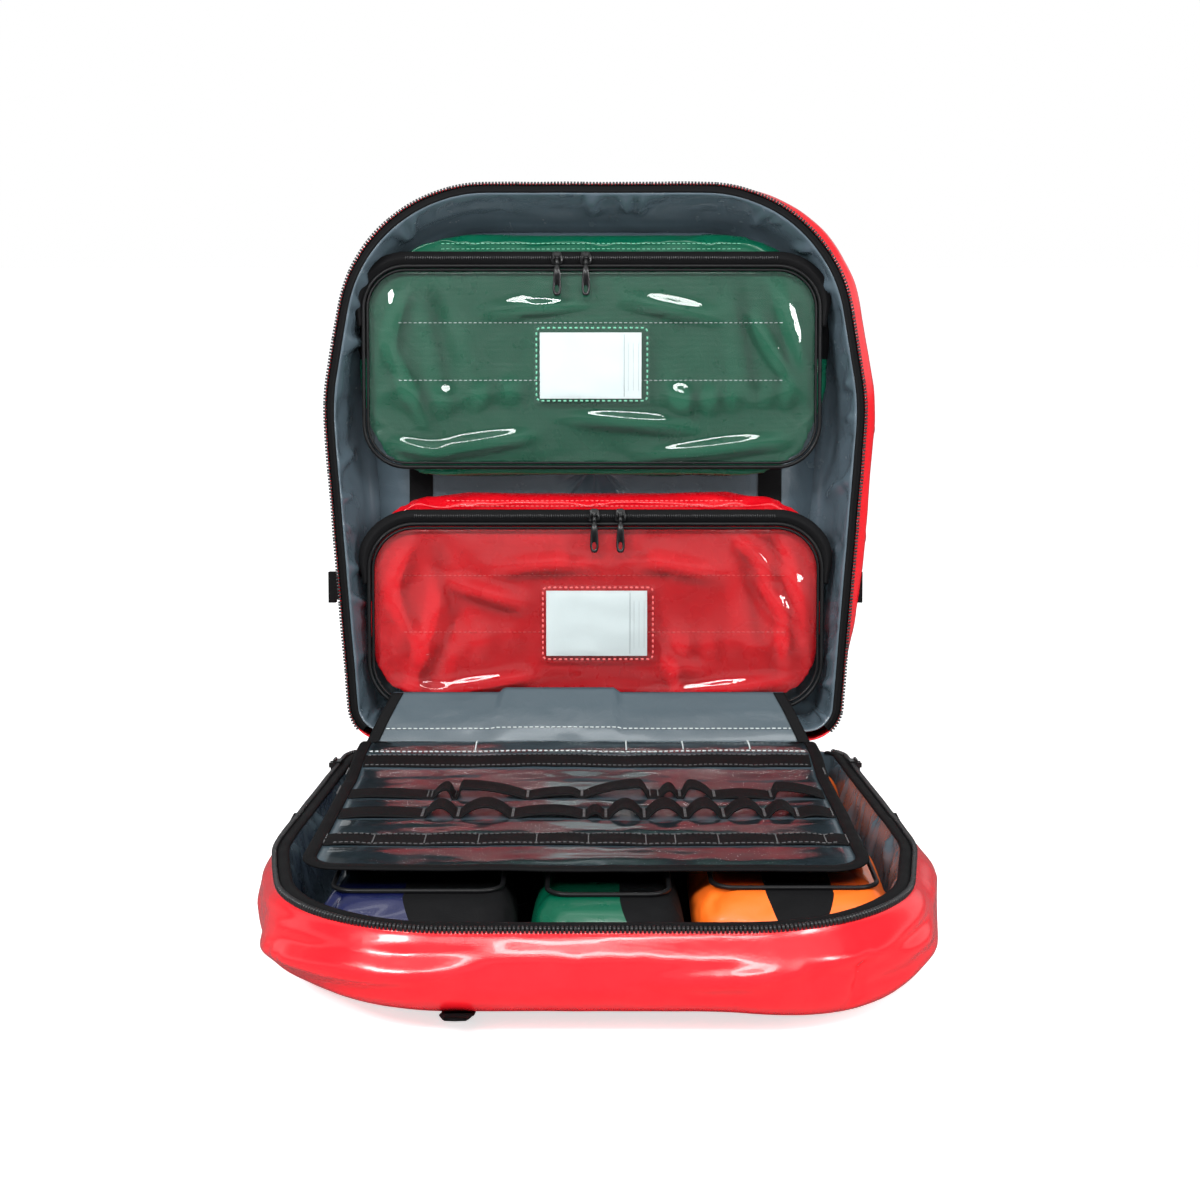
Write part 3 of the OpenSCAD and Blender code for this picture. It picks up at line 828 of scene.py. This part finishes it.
lid_pouch("green", [(166, 224, 430, 98, 57), (200, 222, 430, 96, 34, -1), (190, 219, 416, 58, 22)], -3,
          (188, 234, 396, 33), (-3, 317, 97, 65), (-4, 316, 85, 55), 322, GREEN, THREAD_G, (-32, -8),
          (352, 304))
lid_pouch("red", [(164, 52, 214, 60, 57), (195, 42, 211, 66, 34), (189, 31, 199, 44, 22)], 0,
          (188, 31, 181, 36), (2, 100, 97, 65), (1, 100, 85, 55), 118, RED_IN, THREAD_R, (-1, 21),
          (140, 92))


# ---------- pouches in the base ----------
def base_pouch(name, half, mid, r0, r1, fabric, slot, black, node, window_node, spread=0):
    secs = [(half - 7, r0 + 7, r1 - 9, 20, 61, mid), (half - 1, r0 + 1, r1 - 2, 24, 42, mid),
            (half - 2 + spread / 2, r0 + 2, r1 - 3, 26, 22, mid + spread / 2),
            (half - 9 + spread / 2, r0 + 9, r1 - 11, 24, 12, mid + spread / 2)]
    o = cushion(f"{name}_fabric", base_pt, secs, [fabric, BLACK], crown=1.5, mid=mid)
    inflate(o, 3.0, 4.0, 5.5)
    top = (RIM_Z - 9.2) * MM
    for v in o.data.vertices:
        if v.co.z > top:
            v.co.z = top + (v.co.z - top) * 0.1
    slope = Vector((1, 0, 0.5)).normalized()
    ends = [(Vector((black[0] * MM, 0, 0.05)), slope),
            (Vector((black[1] * MM, 0, 0.05)), Vector((1, 0, -0.5)).normalized())]
    split(o, *ends)
    colour_faces(o, lambda p: 1 if (p - ends[0][0]).dot(ends[0][1]) > 0 > (p - ends[1][0]).dot(ends[1][1])
            else 0)
    wear(o, "base", slot, node)
    w, a, b = half - 12, r0 + 12, r1 - 30
    verts, faces = [], []
    ring = pad_outline(w, a, b, 14, mid, n=6, edge=22)
    nr, kk = len(ring), 14
    rc = (a + b) / 2
    for k in range(kk + 1):
        t = 1 - k / kk
        for q in ring:
            x, r = mid + (q[0] - mid) * t, rc + (q[1] - rc) * t
            live = 1 - sm(0.84, 1.0, t)
            z = -7.6 + live * (0.9 * nz(x * 0.03, r * 0.02, half) + 0.6 * nz(x * 0.07, r * 0.07, half))
            verts.append(base_pt(x, r, z))
    for k in range(kk):
        for i in range(nr):
            p, q = k * nr + i, k * nr + (i + 1) % nr
            faces.append((q, p, p + nr, q + nr))
    sheet = new_mesh(f"{name}_window_vinyl", verts, faces, [VINYL])
    weld(sheet, 0.0001)
    wear(sheet, "base", "clear_vinyl", window_node)
    path = [base_pt(q[0] + q[2] * 1.6, q[1] + q[3] * 1.6, -7.7)
            for q in pad_outline(w, a, b, 14, mid, n=10, edge=26)]
    verts, faces = tube_verts(path, 1.7 * MM, 8)
    pipe = new_mesh(f"{name}_window_piping", verts, faces, [PIPING])
    wear(pipe, "base", "black_piping")


base_pouch("blue_pouch", 67, -118, 34, 405, NAVY, "navy_pouch", (-116, 60), "blue_pouch_body",
        "blue_pouch_window")
base_pouch("small_green_pouch", 51, 9, 31, 413, GREEN, "green_pouch", (27, 90), "small_green_pouch_body",
        "small_green_pouch_window")
base_pouch("orange_front_pouch", 66, 134, 227, 398, ORANGE, "orange_pouch", (124, 148),
        "orange_front_pouch_body", "orange_front_pouch_window")
base_pouch("orange_back_pouch", 57, 129, 34, 217, ORANGE, "orange_pouch", (120, 138),
        "orange_back_pouch_body", "orange_back_pouch_window", 13)


# ---------- the flap over the base, with its elastic loops ----------
def flap_outline(inset):
    """Points round the flap, moved in from its edge."""
    corners = [(-192, 9, 8), (180, 9, 8), (188, 361, 30), (-200, 359, 30)]
    pts = []
    for k in range(4):
        p, a, b = corners[k], corners[k - 1], corners[(k + 1) % 4]
        c = np.array(p[:2], float)
        u = np.array(a[:2], float) - c
        v = np.array(b[:2], float) - c
        u /= np.linalg.norm(u)
        v /= np.linalg.norm(v)
        half = math.acos(float(u @ v)) / 2
        rad = p[2]
        m = (u + v) / np.linalg.norm(u + v)
        cc = c + m * rad / math.sin(half)
        a0 = math.atan2(*(c + u * rad / math.tan(half) - cc)[::-1])
        a1 = math.atan2(*(c + v * rad / math.tan(half) - cc)[::-1])
        d = (a1 - a0 + math.pi) % (2 * math.pi) - math.pi
        for i in range(11):
            t = a0 + d * i / 10
            pts.append((cc[0] + (rad - inset) * math.cos(t), cc[1] + (rad - inset) * math.sin(t)))
    out = []
    for p, q in zip(pts, pts[1:] + pts[:1]):
        m = max(1, int(math.dist(p, q) / 8))
        out += [(p[0] + (q[0] - p[0]) * i / m, p[1] + (q[1] - p[1]) * i / m) for i in range(m)]
    return out


def flap_z(x, r):
    """Height of the flap's sheet above the rim plane."""
    edge = sm(300, 362, r)
    rise = 7.5 * sm(8, 40, r) * (1 - sm(62, 130, r))
    return (2.0 + rise + 0.9 * nz(x * 0.012, r * 0.02, 21) - 0.9 * edge * (0.5 + 0.9 * nz(x * 0.013, 5.5))
            + 0.3 * nz(x * 0.05, r * 0.05, 2))


ring = flap_outline(8.0)
verts, faces = [], []
nr, kk = len(ring), 30
for k in range(kk + 1):
    t = 1 - k / kk
    for q in ring:
        x, r = -6 + (q[0] + 6) * t, 185 + (q[1] - 185) * t
        verts.append(base_pt(x, r, flap_z(x, r)))
for k in range(kk):
    for i in range(nr):
        p, q = k * nr + i, k * nr + (i + 1) % nr
        faces.append((q, p, p + nr, q + nr))
flap = new_mesh("flap_cloth", verts, faces, [GREY_FLAP])
weld(flap, 0.0001)
solidify(flap, 1.2, -1)
wear(flap, "flap", "grey_flap", "flap_sheet")

ring = flap_outline(4.6)
n = len(ring)
verts = []
prof = [(-4.8, 0.2), (-4.4, 1.1), (-2.5, 1.5), (0, 1.6), (2.8, 1.5), (4.6, 0.6), (4.9, -0.3), (4.2, -1.1),
        (1.5, -1.5), (-2.5, -1.4), (-4.5, -0.8)]
for i, (x, r) in enumerate(ring):
    a, b = ring[i - 1], ring[(i + 1) % n]
    d = np.array((b[0] - a[0], b[1] - a[1]))
    d /= np.linalg.norm(d)
    nx, nr_ = d[1], -d[0]
    for o_, z in prof:
        verts.append(base_pt(x + nx * o_, r + nr_ * o_, flap_z(x, r) + z))
bind = new_mesh("flap_edge_binding", verts, grid_faces(n, len(prof), True, True, flip=True), [BLACK])
wear(bind, "flap", "black_webbing", "flap_binding")


def flap_strip(name, x0, x1, r0, r1, material, height, thick=1.0, lift=0.5, nx_=260, nr_=9):
    """A strip sewn on the flap; height(x, r, v) lifts it."""
    verts = []
    for i in range(nx_ + 1):
        x = x0 + (x1 - x0) * i / nx_
        for j in range(nr_ + 1):
            v = j / nr_
            r = r0 + (r1 - r0) * v
            verts.append(base_pt(x, r, flap_z(x, r) + lift + height(x, r, v)))
    o = new_mesh(name, verts, grid_faces(nx_ + 1, nr_ + 1), [material])
    if thick:
        solidify(o, thick, -1)
    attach(o, "flap")
    return o


def cells(marks, rise):
    """Height of a band sewn down at the marks and puffed between them."""
    def f(x, r, v):
        best = 0.0
        for a, b, h in zip(marks, marks[1:], rise):
            if a <= x <= b:
                u = (x - a) / (b - a)
                best = h * math.sin(math.pi * u) ** 0.75
        return best
    return f


spots = random.Random(5)
at, marks = -189.0, [-189.0]
while at < 150:
    at += spots.uniform(20, 42)
    marks.append(at)
marks.append(177.0)
rise = [spots.uniform(0.5, 1.3) for _ in marks]
band1 = flap_strip("elastic_band_rear", -184, 171, 76, 100, ELASTIC,
        cells([-184, -97, 25, 71, 125, 171], [0.7] * 5), lift=0.9)
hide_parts("flap_elastic_bands")
band2 = flap_strip("elastic_band_front", -189, 177, 278, 306, ELASTIC, cells(marks, rise), lift=0.9)

# loop rows: (start, end, peak place, peak height); between loops the elastic lies on the sheet
rear_loops = [(-186, -128, -160, 1.5), (-122, -107, -112, 7.5), (-104, -52, -100, 8.5),
        (-50, -12, -20, 3.0), (-8, 40, 33, 8.5),
              (49, 62, 56, 6.0), (66, 88, 72, 8.5), (92, 132, 112, 1.6), (134, 172, 138, 7.0)]
front_loops = [(-186, -128, -160, 1.6), (-124, -102, -113, 7.6), (-98, -62, -80, 8.6), (-58, -10, -30, 3.4),
        (-6, 6, 0, 4.0),
               (10, 34, 22, 8.2), (38, 64, 51, 8.4), (68, 92, 80, 8.4), (96, 122, 110, 8.4),
               (126, 146, 136, 7.0), (150, 172, 160, 2.0)]


def loop_height(loops):
    def f(x, r, v):
        for a, b, p, h in loops:
            if a <= x <= b:
                u = (x - a) / max(1e-6, p - a) if x < p else (b - x) / max(1e-6, b - p)
                return h * math.sin(u * math.pi / 2) ** 0.8 * (1 - 0.06 * math.sin(math.pi * v))
        return 0.0
    return f


row1 = flap_strip("elastic_loops_rear", -186, 173, 159, 183, ELASTIC, loop_height(rear_loops), thick=1.3,
        lift=0.9, nx_=400)
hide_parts("flap_elastic_loops")
row2 = flap_strip("elastic_loops_front", -187, 175, 211, 237, ELASTIC, loop_height(front_loops), thick=1.3,
        lift=0.9, nx_=400)
tree = tree_of(row1, row2, band1, band2)
DOWN = Vector((0, 0, -1))
lines = []
for loops, r0, r1 in ((rear_loops, 160, 182), (front_loops, 212, 236)):
    for a, b, p, h in loops:
        for x in (a - 1.5, b + 1.5):
            lines.append([base_pt(x, r, 20) for r in np.linspace(r0, r1, 12)])
for x in marks:
    lines.append([base_pt(x, r, 20) for r in np.linspace(279, 305, 12)])
for r in (280, 304, 78, 98):
    lines.append([base_pt(x, r, 20) for x in np.linspace(-182, 170, 200)])
seams = stitches("elastic_stitching", lines, tree, DOWN, THREAD_K, "flap", length=2.6,
        space=1.4, radius=0.4, lift=0.3)


def pocket(name, r0, r1, amp, seed):
    def h(x, r, v):
        edge = math.sin(math.pi * v) ** 0.6
        return edge * (1.1 + amp * nz(x * 0.012, r * 0.06, seed) + 0.5 * amp * nz(x * 0.04, r * 0.09, seed))
    o = flap_strip(name, -183, 171, r0, r1, VINYL_FLAP, h, thick=0, lift=0.55, nx_=200, nr_=12)
    return o


p1 = pocket("clear_pocket_rear", 14, 70, 1.4, 31)
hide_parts("flap_clear_pockets")
p2 = pocket("clear_pocket_second", 104, 156, 1.5, 34)
p3 = pocket("clear_pocket_third", 186, 208, 1.0, 35)
p4 = pocket("clear_pocket_fourth", 240, 275, 1.3, 32)
p5 = pocket("clear_pocket_front", 309, 349, 1.2, 33)
tree = tree_of(p1)
lines = [[base_pt(x, r, 20) for x in np.linspace(-182, 170, 200)] for r in (67,)]
lines += [[base_pt(x, r, 20) for r in np.linspace(16, 66, 14)] for x in (-97, 25, 71, 125)]
white = stitches("flap_white_stitching", lines, tree, DOWN, THREAD_W, "flap", length=2.8,
        space=1.6, radius=0.5, lift=0.3)
for o in (flap, bind, band1, band2, row1, row2, seams, p1, p2, p3, p4, p5, white):
    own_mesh(o)


# the sheet goes on behind the flap's hinge line, up to its seam in the lid under the red pouch
def climb(u, v, lift=0.0):
    """Point on the climbing strip: u across, v up."""
    top = 42 + 4 * (sm(-90, -84, -190 + 370 * u) - sm(20, 24, -190 + 370 * u))
    x0, x1 = -191 + 370 * u, -170 + 328 * u
    a = Vector(base_pt(x0, 10, 2.6))
    b = Vector(lid_pt(x1, top, -12.5))
    p = a.lerp(b, v)
    out = Vector((0, -0.74, 0.67))
    p += out * (2.2 * math.sin(math.pi * v) + lift + 1.0 * nz(u * 6, v * 2.2, 8) * math.sin(math.pi * v)
                + 0.5 * nz(u * 16, v * 3, 9) * math.sin(math.pi * v)) * MM
    return p


def climbing(name, u0, u1, v0, v1, lift, material, thick, nu=110, nv=18):
    verts = [climb(u0 + (u1 - u0) * i / nu, v0 + (v1 - v0) * j / nv, lift) for i in range(nu + 1)
            for j in range(nv + 1)]
    o = new_mesh(name, verts, grid_faces(nu + 1, nv + 1, flip=True), [material])
    if thick:
        solidify(o, thick, 0)
        bake(o)
    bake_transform(o)
    return o


anchor = climbing("flap_rear_strip", 0.0, 1.0, 0.0, 1.0, 0.0, GREY_FLAP, 1.0)
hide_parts("flap_anchor_strip")
climbing("flap_rear_edge_left", 0.0, 0.027, -0.02, 0.97, 1.0, BLACK, 1.6, nu=5)
climbing("flap_rear_edge_right", 0.973, 1.0, -0.02, 0.97, 1.0, BLACK, 1.6, nu=5)
climbing("clear_pocket_rear_top", 0.03, 0.97, 0.0, 0.27, 0.9, VINYL_DULL, 0, nv=8)
path = [climb(0.03 + 0.94 * i / 220, 0.26, 1.3) for i in range(221)]
parts = []
for i in range(0, 220, 3):
    a, b = path[i], path[min(220, i + 2)]
    u = (b - a).normalized()
    w = Vector((0, -0.74, 0.67))
    parts.append(bar((a + b) / 2, u, u.cross(w).normalized(), w, (b - a).length / 2, 0.42 * MM, 0.35 * MM))
verts, faces = join(parts)
top_seam = new_mesh("flap_white_seam_top", verts, faces, [THREAD_W])
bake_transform(top_seam)

# ---------- the fabric over the hinge ----------
verts = []
nu = 90
for i in range(nu + 1):
    x = -172 + 344 * i / nu
    w = 0.35 * nz(x * 0.05, 3.3)
    for j in range(17):
        t = j / 16
        if t < 0.5:
            d = 20 * (1 - t / 0.5)
            y, z = HINGE_Y - 1.3 + w, RIM_Z - 1.5 - d
        else:
            d = 20 * (t - 0.5) / 0.5
            y = HINGE_Y + 1.5 + d * math.cos(LEAN)
            z = RIM_Z + 1.2 - d * math.sin(LEAN) - w
        k = sm(0.3, 0.5, t) * (1 - sm(0.5, 0.7, t))
        y += 0.9 * k
        z -= 0.9 * k
        verts.append((x * MM, y * MM, z * MM))
hinge_cloth = new_mesh("hinge_cloth", verts, grid_faces(nu + 1, 17), [RED])
solidify(hinge_cloth, 0.9, 0)
bake(hinge_cloth)
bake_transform(hinge_cloth)
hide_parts("hinge_tape")

# ---------- harness under the base ----------
pad = cushion("back_pad_cushion", base_pt,
        [(48, 74, 400, 18, 69.4), (53, 71, 403, 22, 73.5), (47, 76, 398, 20, 78.2)], [MESH], crown=-1.2)
inflate(pad, 2.0, 1.5, 4.5)
for v in pad.data.vertices:
    if v.co.z < 0.0004:
        v.co.z = 0.0004
wear(pad, "base", "black_padding", "back_pad")
tree = tree_of(pad)
lines = [[base_pt(x, r, -95) for x in np.linspace(-44, 44, 24)] for r in (150, 237, 324)]
stitches("back_pad_stitching", lines, tree, (0, 0, 1), THREAD_K, "base", length=3,
        space=1.6, radius=0.5, lift=0.2)


def strap(side, tip, node):
    verts = []
    n = 90
    ring = [(-1, 0), (-0.97, 0.6), (-0.86, 0.93), (-0.5, 1), (0, 1), (0.5, 1), (0.86, 0.93), (0.97, 0.6),
            (1, 0),
            (0.97, -0.6), (0.86, -0.93), (0.5, -1), (0, -1), (-0.5, -1), (-0.86, -0.93), (-0.97, -0.6)]
    for i in range(n + 1):
        r = 111 + (tip - 113) * i / n
        mid = 84 + 22 * math.sin(math.radians((r - 110) * 0.52))
        half = 30.4 - 12 * max(0, (220 - r) / 110)
        end = min(1, math.sin(math.pi / 2 * min(1, i / 3.0)) + 0.25) * min(1,
                math.sin(math.pi / 2 * min(1, (n - i) / 4.0)) + 0.3)
        thick = 4.7 * end * (0.93 + 0.07 * math.cos((r - 110) / 37 * math.pi))
        for a, b in ring:
            verts.append(base_pt(side * (mid + a * half * (0.6 + 0.4 * end)), r, -75.0 + b * thick))
    faces = grid_faces(n + 1, len(ring), False, True, flip=(side > 0))
    caps = [tuple(range(len(ring))), tuple(reversed(range(n * len(ring), (n + 1) * len(ring))))]
    faces += caps if side > 0 else [c[::-1] for c in caps]
    o = new_mesh(f"shoulder_strap_{'left' if side < 0 else 'right'}_pad", verts, faces, [MESH])
    wear(o, "base", "black_padding", node)
    parts = []
    for off in (-0.84, 0.84):
        path = []
        for i in range(2, n - 3):
            r = 111 + (tip - 113) * i / n
            mid = 84 + 22 * math.sin(math.radians((r - 110) * 0.52))
            half = 30.4 - 12 * max(0, (220 - r) / 110)
            path.append(base_pt(side * (mid + off * half), r, -79.6))
        parts.append(tube_verts(path, 0.55 * MM, 6, closed=False))
    verts, faces = join(parts)
    s = new_mesh(f"shoulder_strap_{'left' if side < 0 else 'right'}_piping", verts, faces, [PIPING])
    wear(s, "base", "black_piping")


strap(-1, 404, "shoulder_strap_left")
strap(1, 400, "shoulder_strap_right")
skin_tree = tree_of(base_skin)


def under_skin(x, r, gap):
    """Height of the base skin's underside less a gap, in the rim frame."""
    hit = skin_tree.ray_cast(Vector(base_pt(x, r, -130)), Vector((0, 0, 1)))
    return (hit[0].z / MM - RIM_Z if hit[0] is not None else -60) - gap


def hugging(name, x0, r0, r1, half, thick, gap, material, slot):
    """A strap end that hugs the underside of the base skin and thins at its tip."""
    n, round_end = 24, 0.2
    verts = []
    zs = [under_skin(x0, min(r0 + (r1 - r0) * i / n, 456), gap) for i in range(n + 1)]
    for i in range(n + 1):
        t = i / n
        r = r0 + (r1 - r0) * t
        end = math.sqrt(max(0.06, 1 - max(0, (t - 1 + round_end) / round_end) ** 2))
        z = sum(zs[max(0, i - 2):i + 3]) / len(zs[max(0, i - 2):i + 3])
        for a, b in ((-1, 0), (-0.92, 0.8), (0, 1), (0.92, 0.8), (1, 0), (0.92, -0.8), (0, -1),
                (-0.92, -0.8)):
            verts.append(base_pt(x0 + a * half * (0.55 + 0.45 * end), r, z - thick / 2 + b * thick / 2))
    faces = grid_faces(n + 1, 8, False, True) + [tuple(range(8)), tuple(reversed(range(n * 8, n * 8 + 8)))]
    o = new_mesh(name, verts, faces, [material])
    wear(o, "base", slot)
    return o


hugging("strap_webbing_end", -87, 400, 466, 11, 2.6, 1.0, BLACK, "black_webbing")
verts = []
for i in range(41):
    x = -45 + 90 * i / 40
    end = min(1, (45.5 - abs(x)) / 6) ** 0.5
    for a, b in ((-1, 0), (-0.9, 0.8), (0, 1), (0.9, 0.8), (1, 0), (0.9, -0.8), (0, -1), (-0.9, -0.8)):
        r = 398 + a * 11 * (0.6 + 0.4 * end)
        verts.append(base_pt(x, r, under_skin(x, r, 0.5) - 1.0 + b * 1.0))
faces = grid_faces(41, 8, False, True) + [tuple(range(8)), tuple(reversed(range(320, 328)))]
haul = new_mesh("grab_handle_webbing", verts, faces, [BLACK])
wear(haul, "base", "black_webbing")
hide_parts("grab_handle")


def keep(node, material, bevel=0.4):
    """A CAD piece that stays, with rounded edges and its own finish."""
    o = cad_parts[node]
    for s in o.material_slots:
        s.material = material
    m = o.modifiers.new("rounded", "BEVEL")
    m.width, m.segments, m.limit_method = bevel * MM, 2, "ANGLE"
    m.harden_normals = False
    return o


keep("strap_webbing", BLACK, 0.4)
keep("ladder_locks", PLASTIC, 0.9)
keep("base_side_tabs", BLACK, 0.5)
keep("lid_side_tabs", BLACK, 0.5)
keep("lid_loop_strips", BLACK, 0.3)
def lathe_plate(outline, z0, z1, hole=None):
    """A rounded plate from an outline, with an optional slot: a second outline of equal length."""
    n = len(outline)
    cx, cy = sum(p[0] for p in outline) / n, sum(p[1] for p in outline) / n
    verts = []
    for k, z in ((0.9, z0), (1.0, z0 + 0.25 * (z1 - z0)), (1.0, z0 + 0.75 * (z1 - z0)), (0.9, z1)):
        verts += [(cx + (p[0] - cx) * k, cy + (p[1] - cy) * (k if k == 1 else k + 0.08), z)
                for p in outline]
    faces = []
    for k in range(3):
        for i in range(n):
            faces.append((k * n + i, k * n + (i + 1) % n, (k + 1) * n + (i + 1) % n, (k + 1) * n + i))
    if hole:
        for z in (z0, z0 + 0.25 * (z1 - z0), z0 + 0.75 * (z1 - z0), z1):
            verts += [(p[0], p[1], z) for p in hole]
        h = 4 * n
        for k in range(3):
            for i in range(n):
                faces.append((h + k * n + (i + 1) % n, h + k * n + i, h + (k + 1) * n + i,
                        h + (k + 1) * n + (i + 1) % n))
        for i in range(n):
            j = (i + 1) % n
            faces.append((j, i, h + i, h + j))
            faces.append((3 * n + i, 3 * n + j, h + 3 * n + j, h + 3 * n + i))
    else:
        faces += [tuple(reversed(range(n))), tuple(range(3 * n, 4 * n))]
    return verts, faces


def ring_at(cx, cy, rx, ry, n=28, power=1.0):
    return [(cx + rx * math.copysign(abs(math.cos(t)) ** power, math.cos(t)),
            cy + ry * math.copysign(abs(math.sin(t)) ** power, math.sin(t)))
            for t in (2 * math.pi * i / n for i in range(n))]


def pull_shape():
    n = 28
    tab = []
    for i in range(n):
        t = 2 * math.pi * i / n
        u, v = math.cos(t), math.sin(t)
        y = -18.4 + 13.0 * math.copysign(abs(v) ** 0.7, v)
        half = 2.6 + 1.5 * (1 - (y + 31.5) / 26)
        tab.append((half * math.copysign(abs(u) ** 0.6, u), y))
    parts = [lathe_plate(tab, 2.5, 4.7, ring_at(0, -25.5, 1.7, 3.2))]
    neck = [(1.6 * math.copysign(abs(math.cos(t)) ** 0.5, math.cos(t)),
            -3.4 + 3.2 * math.copysign(abs(math.sin(t)) ** 0.5, math.sin(t)))
            for t in (2 * math.pi * i / n for i in range(n))]
    parts.append(lathe_plate(neck, 2.7, 4.5))
    eye = []
    for k in range(13):
        t = 2 * math.pi * k / 12
        eye.append((1.55 * math.cos(t), 1.55 * math.sin(t)))
    verts = [(x, y, 3.6 + z) for x in (-1.6, 1.6) for (y, z) in [(a, b) for a, b in eye[:12]]]
    verts += [(x, y * 0.62, 3.6 + z * 0.62) for x in (-1.6, 1.6)
            for (y, z) in [(a, b) for a, b in eye[:12]]]
    faces = []
    for i in range(12):
        j = (i + 1) % 12
        faces += [(i, 12 + i, 12 + j, j), (24 + j, 36 + j, 36 + i, 24 + i), (j, 24 + j, 24 + i, i),
                (12 + i, 36 + i, 36 + j, 12 + j)]
    parts.append((verts, faces))
    return join(parts)


def slider_shape():
    body = [(x * (1 - 0.16 * (y > 0)), y) for x, y in ring_at(0, 0, 5.0, 5.6, 28, 0.55)]
    parts = [lathe_plate(body, -0.2, 1.8)]
    for s_ in (-1, 1):
        cheek = [(s_ * 2.9 + x, y) for x, y in ring_at(0, 0, 0.72, 2.6, 20, 0.5)]
        parts.append(lathe_plate(cheek, 1.6, 4.9))
    v, f = tube_verts([(-3.4, 0, 3.6), (0, 0, 3.6), (3.4, 0, 3.6)], 0.85, 12, closed=False)
    parts.append((v, f))
    return join(parts)


def place(shape, o_pt, across, up, out, name, body, node):
    verts, faces = shape
    at = [o_pt + across * (v[0] * MM) + up * (v[1] * MM) + out * (v[2] * MM) for v in verts]
    o = new_mesh(name, at, faces, [METAL])
    wear(o, body, "zip_metal", node)
    return o


EAST = Vector((1, 0, 0))
for c, d, x, r in (("green", "left", -32, 405), ("green", "right", -8, 405), ("red", "left", -1, 191),
        ("red", "right", 21, 191)):
    o_pt = Vector(lid_pt(x, r, -16))
    place(slider_shape(), o_pt, EAST, LID_UP, LID_OUT, f"{c}_zip_slider_{d}", f"{c}_slider_{d}",
            f"{c}_slider_{d}")
    place(pull_shape(), o_pt, EAST, LID_UP, LID_OUT, f"{c}_zip_pull_{d}", f"{c}_pull_{d}", f"{c}_pull_{d}")
for d in ("left", "right"):
    keep(f"main_slider_{d}", METAL, 0.35)
    keep(f"main_pull_{d}", METAL, 0.4)

# ---------- floor, light and camera ----------
floor_mat = mat("studio_floor", (0.93, 0.93, 0.93), 0.7, spec=0.2, vary=0.0, bump=0.0, rough_vary=0.02)
ft = floor_mat.node_tree
dark = put(ft, "BsdfDiffuse", {"Color": (0.16, 0.16, 0.165, 1)})
kind = put(ft, "LightPath")
pale = ft.nodes["Principled BSDF"].outputs[0]
pick_floor = put(ft, "MixShader", links={0: kind.outputs["Is Glossy Ray"], 1: pale, 2: dark.outputs[0]})
seen_by = put(ft, "Math", {1: 0.66}, {0: kind.outputs["Is Camera Ray"]}, operation="MULTIPLY")
glow = put(ft, "Emission", links={"Strength": seen_by.outputs[0]})
lifted = put(ft, "AddShader", links={0: pick_floor.outputs[0], 1: glow.outputs[0]})
ft.links.new(lifted.outputs[0], ft.nodes["Material Output"].inputs["Surface"])
floor = new_mesh("studio_floor", [(-30, -30, 0), (30, -30, 0), (30, 30, 0), (-30, 30, 0)], [(0, 1, 2, 3)],
        [floor_mat], smooth=False)
world = bpy.data.worlds.new("studio")
bpy.context.scene.world = world
world.use_nodes = True
wt = world.node_tree
seen = wt.nodes["Background"]
seen.inputs["Color"].default_value = (1, 1, 1, 1)
seen.inputs["Strength"].default_value = 1.0
apart = put(wt, "SeparateXYZ", links={0: put(wt, "TexCoord").outputs["Generated"]})
ramp = put(wt, "ValToRGB", links={0: apart.outputs["Z"]})
e = ramp.color_ramp.elements
e[0].position, e[0].color = 0.0, (0.05, 0.05, 0.055, 1)
e[1].position, e[1].color = 0.03, (0.10, 0.10, 0.11, 1)
for at, v in ((0.10, 0.75), (0.30, 0.85), (0.42, 0.25), (1.0, 0.30)):
    k = e.new(at)
    k.color = (v * 0.95, v * 0.98, v, 1)
around = put(wt, "Background", {"Strength": 0.8}, {"Color": ramp.outputs[0]})
to_camera = put(wt, "LightPath").outputs["Is Camera Ray"]
choose = put(wt, "MixShader", links={0: to_camera, 1: around.outputs[0], 2: seen.outputs[0]})
wt.links.new(choose.outputs[0], wt.nodes["World Output"].inputs["Surface"])
bpy.context.scene.view_settings.view_transform = "Standard"


def light(name, at, to, size, power):
    d = bpy.data.lights.new(name, "AREA")
    d.shape, d.size, d.size_y, d.energy = "RECTANGLE", size[0], size[1], power
    o = bpy.data.objects.new(name, d)
    bpy.context.scene.collection.objects.link(o)
    o.location = at
    o.rotation_euler = (Vector(to) - Vector(at)).to_track_quat("-Z", "Y").to_euler()
    return o


light("key_softbox", (-1.3, -1.6, 1.5), (0, 0, 0.2), (0.7, 0.5), 40)
light("fill_softbox", (1.5, -1.4, 1.1), (0, 0, 0.25), (0.3, 0.9), 24)
light("front_bank", (0.1, -2.6, 2.3), (0, 0, 0.25), (2.0, 0.35), 50)
light("top_strip", (0, -0.5, 2.1), (0, 0, 0.1), (1.8, 0.4), 4)
sun = bpy.data.lights.new("high_sun", "SUN")
sun.energy, sun.angle = 0.7, math.radians(80)
sun_o = bpy.data.objects.new("high_sun", sun)
bpy.context.scene.collection.objects.link(sun_o)
sun_o.rotation_euler = (math.radians(14), 0, 0)

cam_data = bpy.data.cameras.new("camera")
cam_data.sensor_width = 36
cam_data.lens = 62.97
cam = bpy.data.objects.new("camera", cam_data)
bpy.context.scene.collection.objects.link(cam)
cam.location = (0.0029, (HINGE_Y - 1712.7) * MM, 0.5006)
cam.rotation_euler = (math.radians(90 - 9.88), 0, math.radians(-0.03))
bpy.context.scene.camera = cam
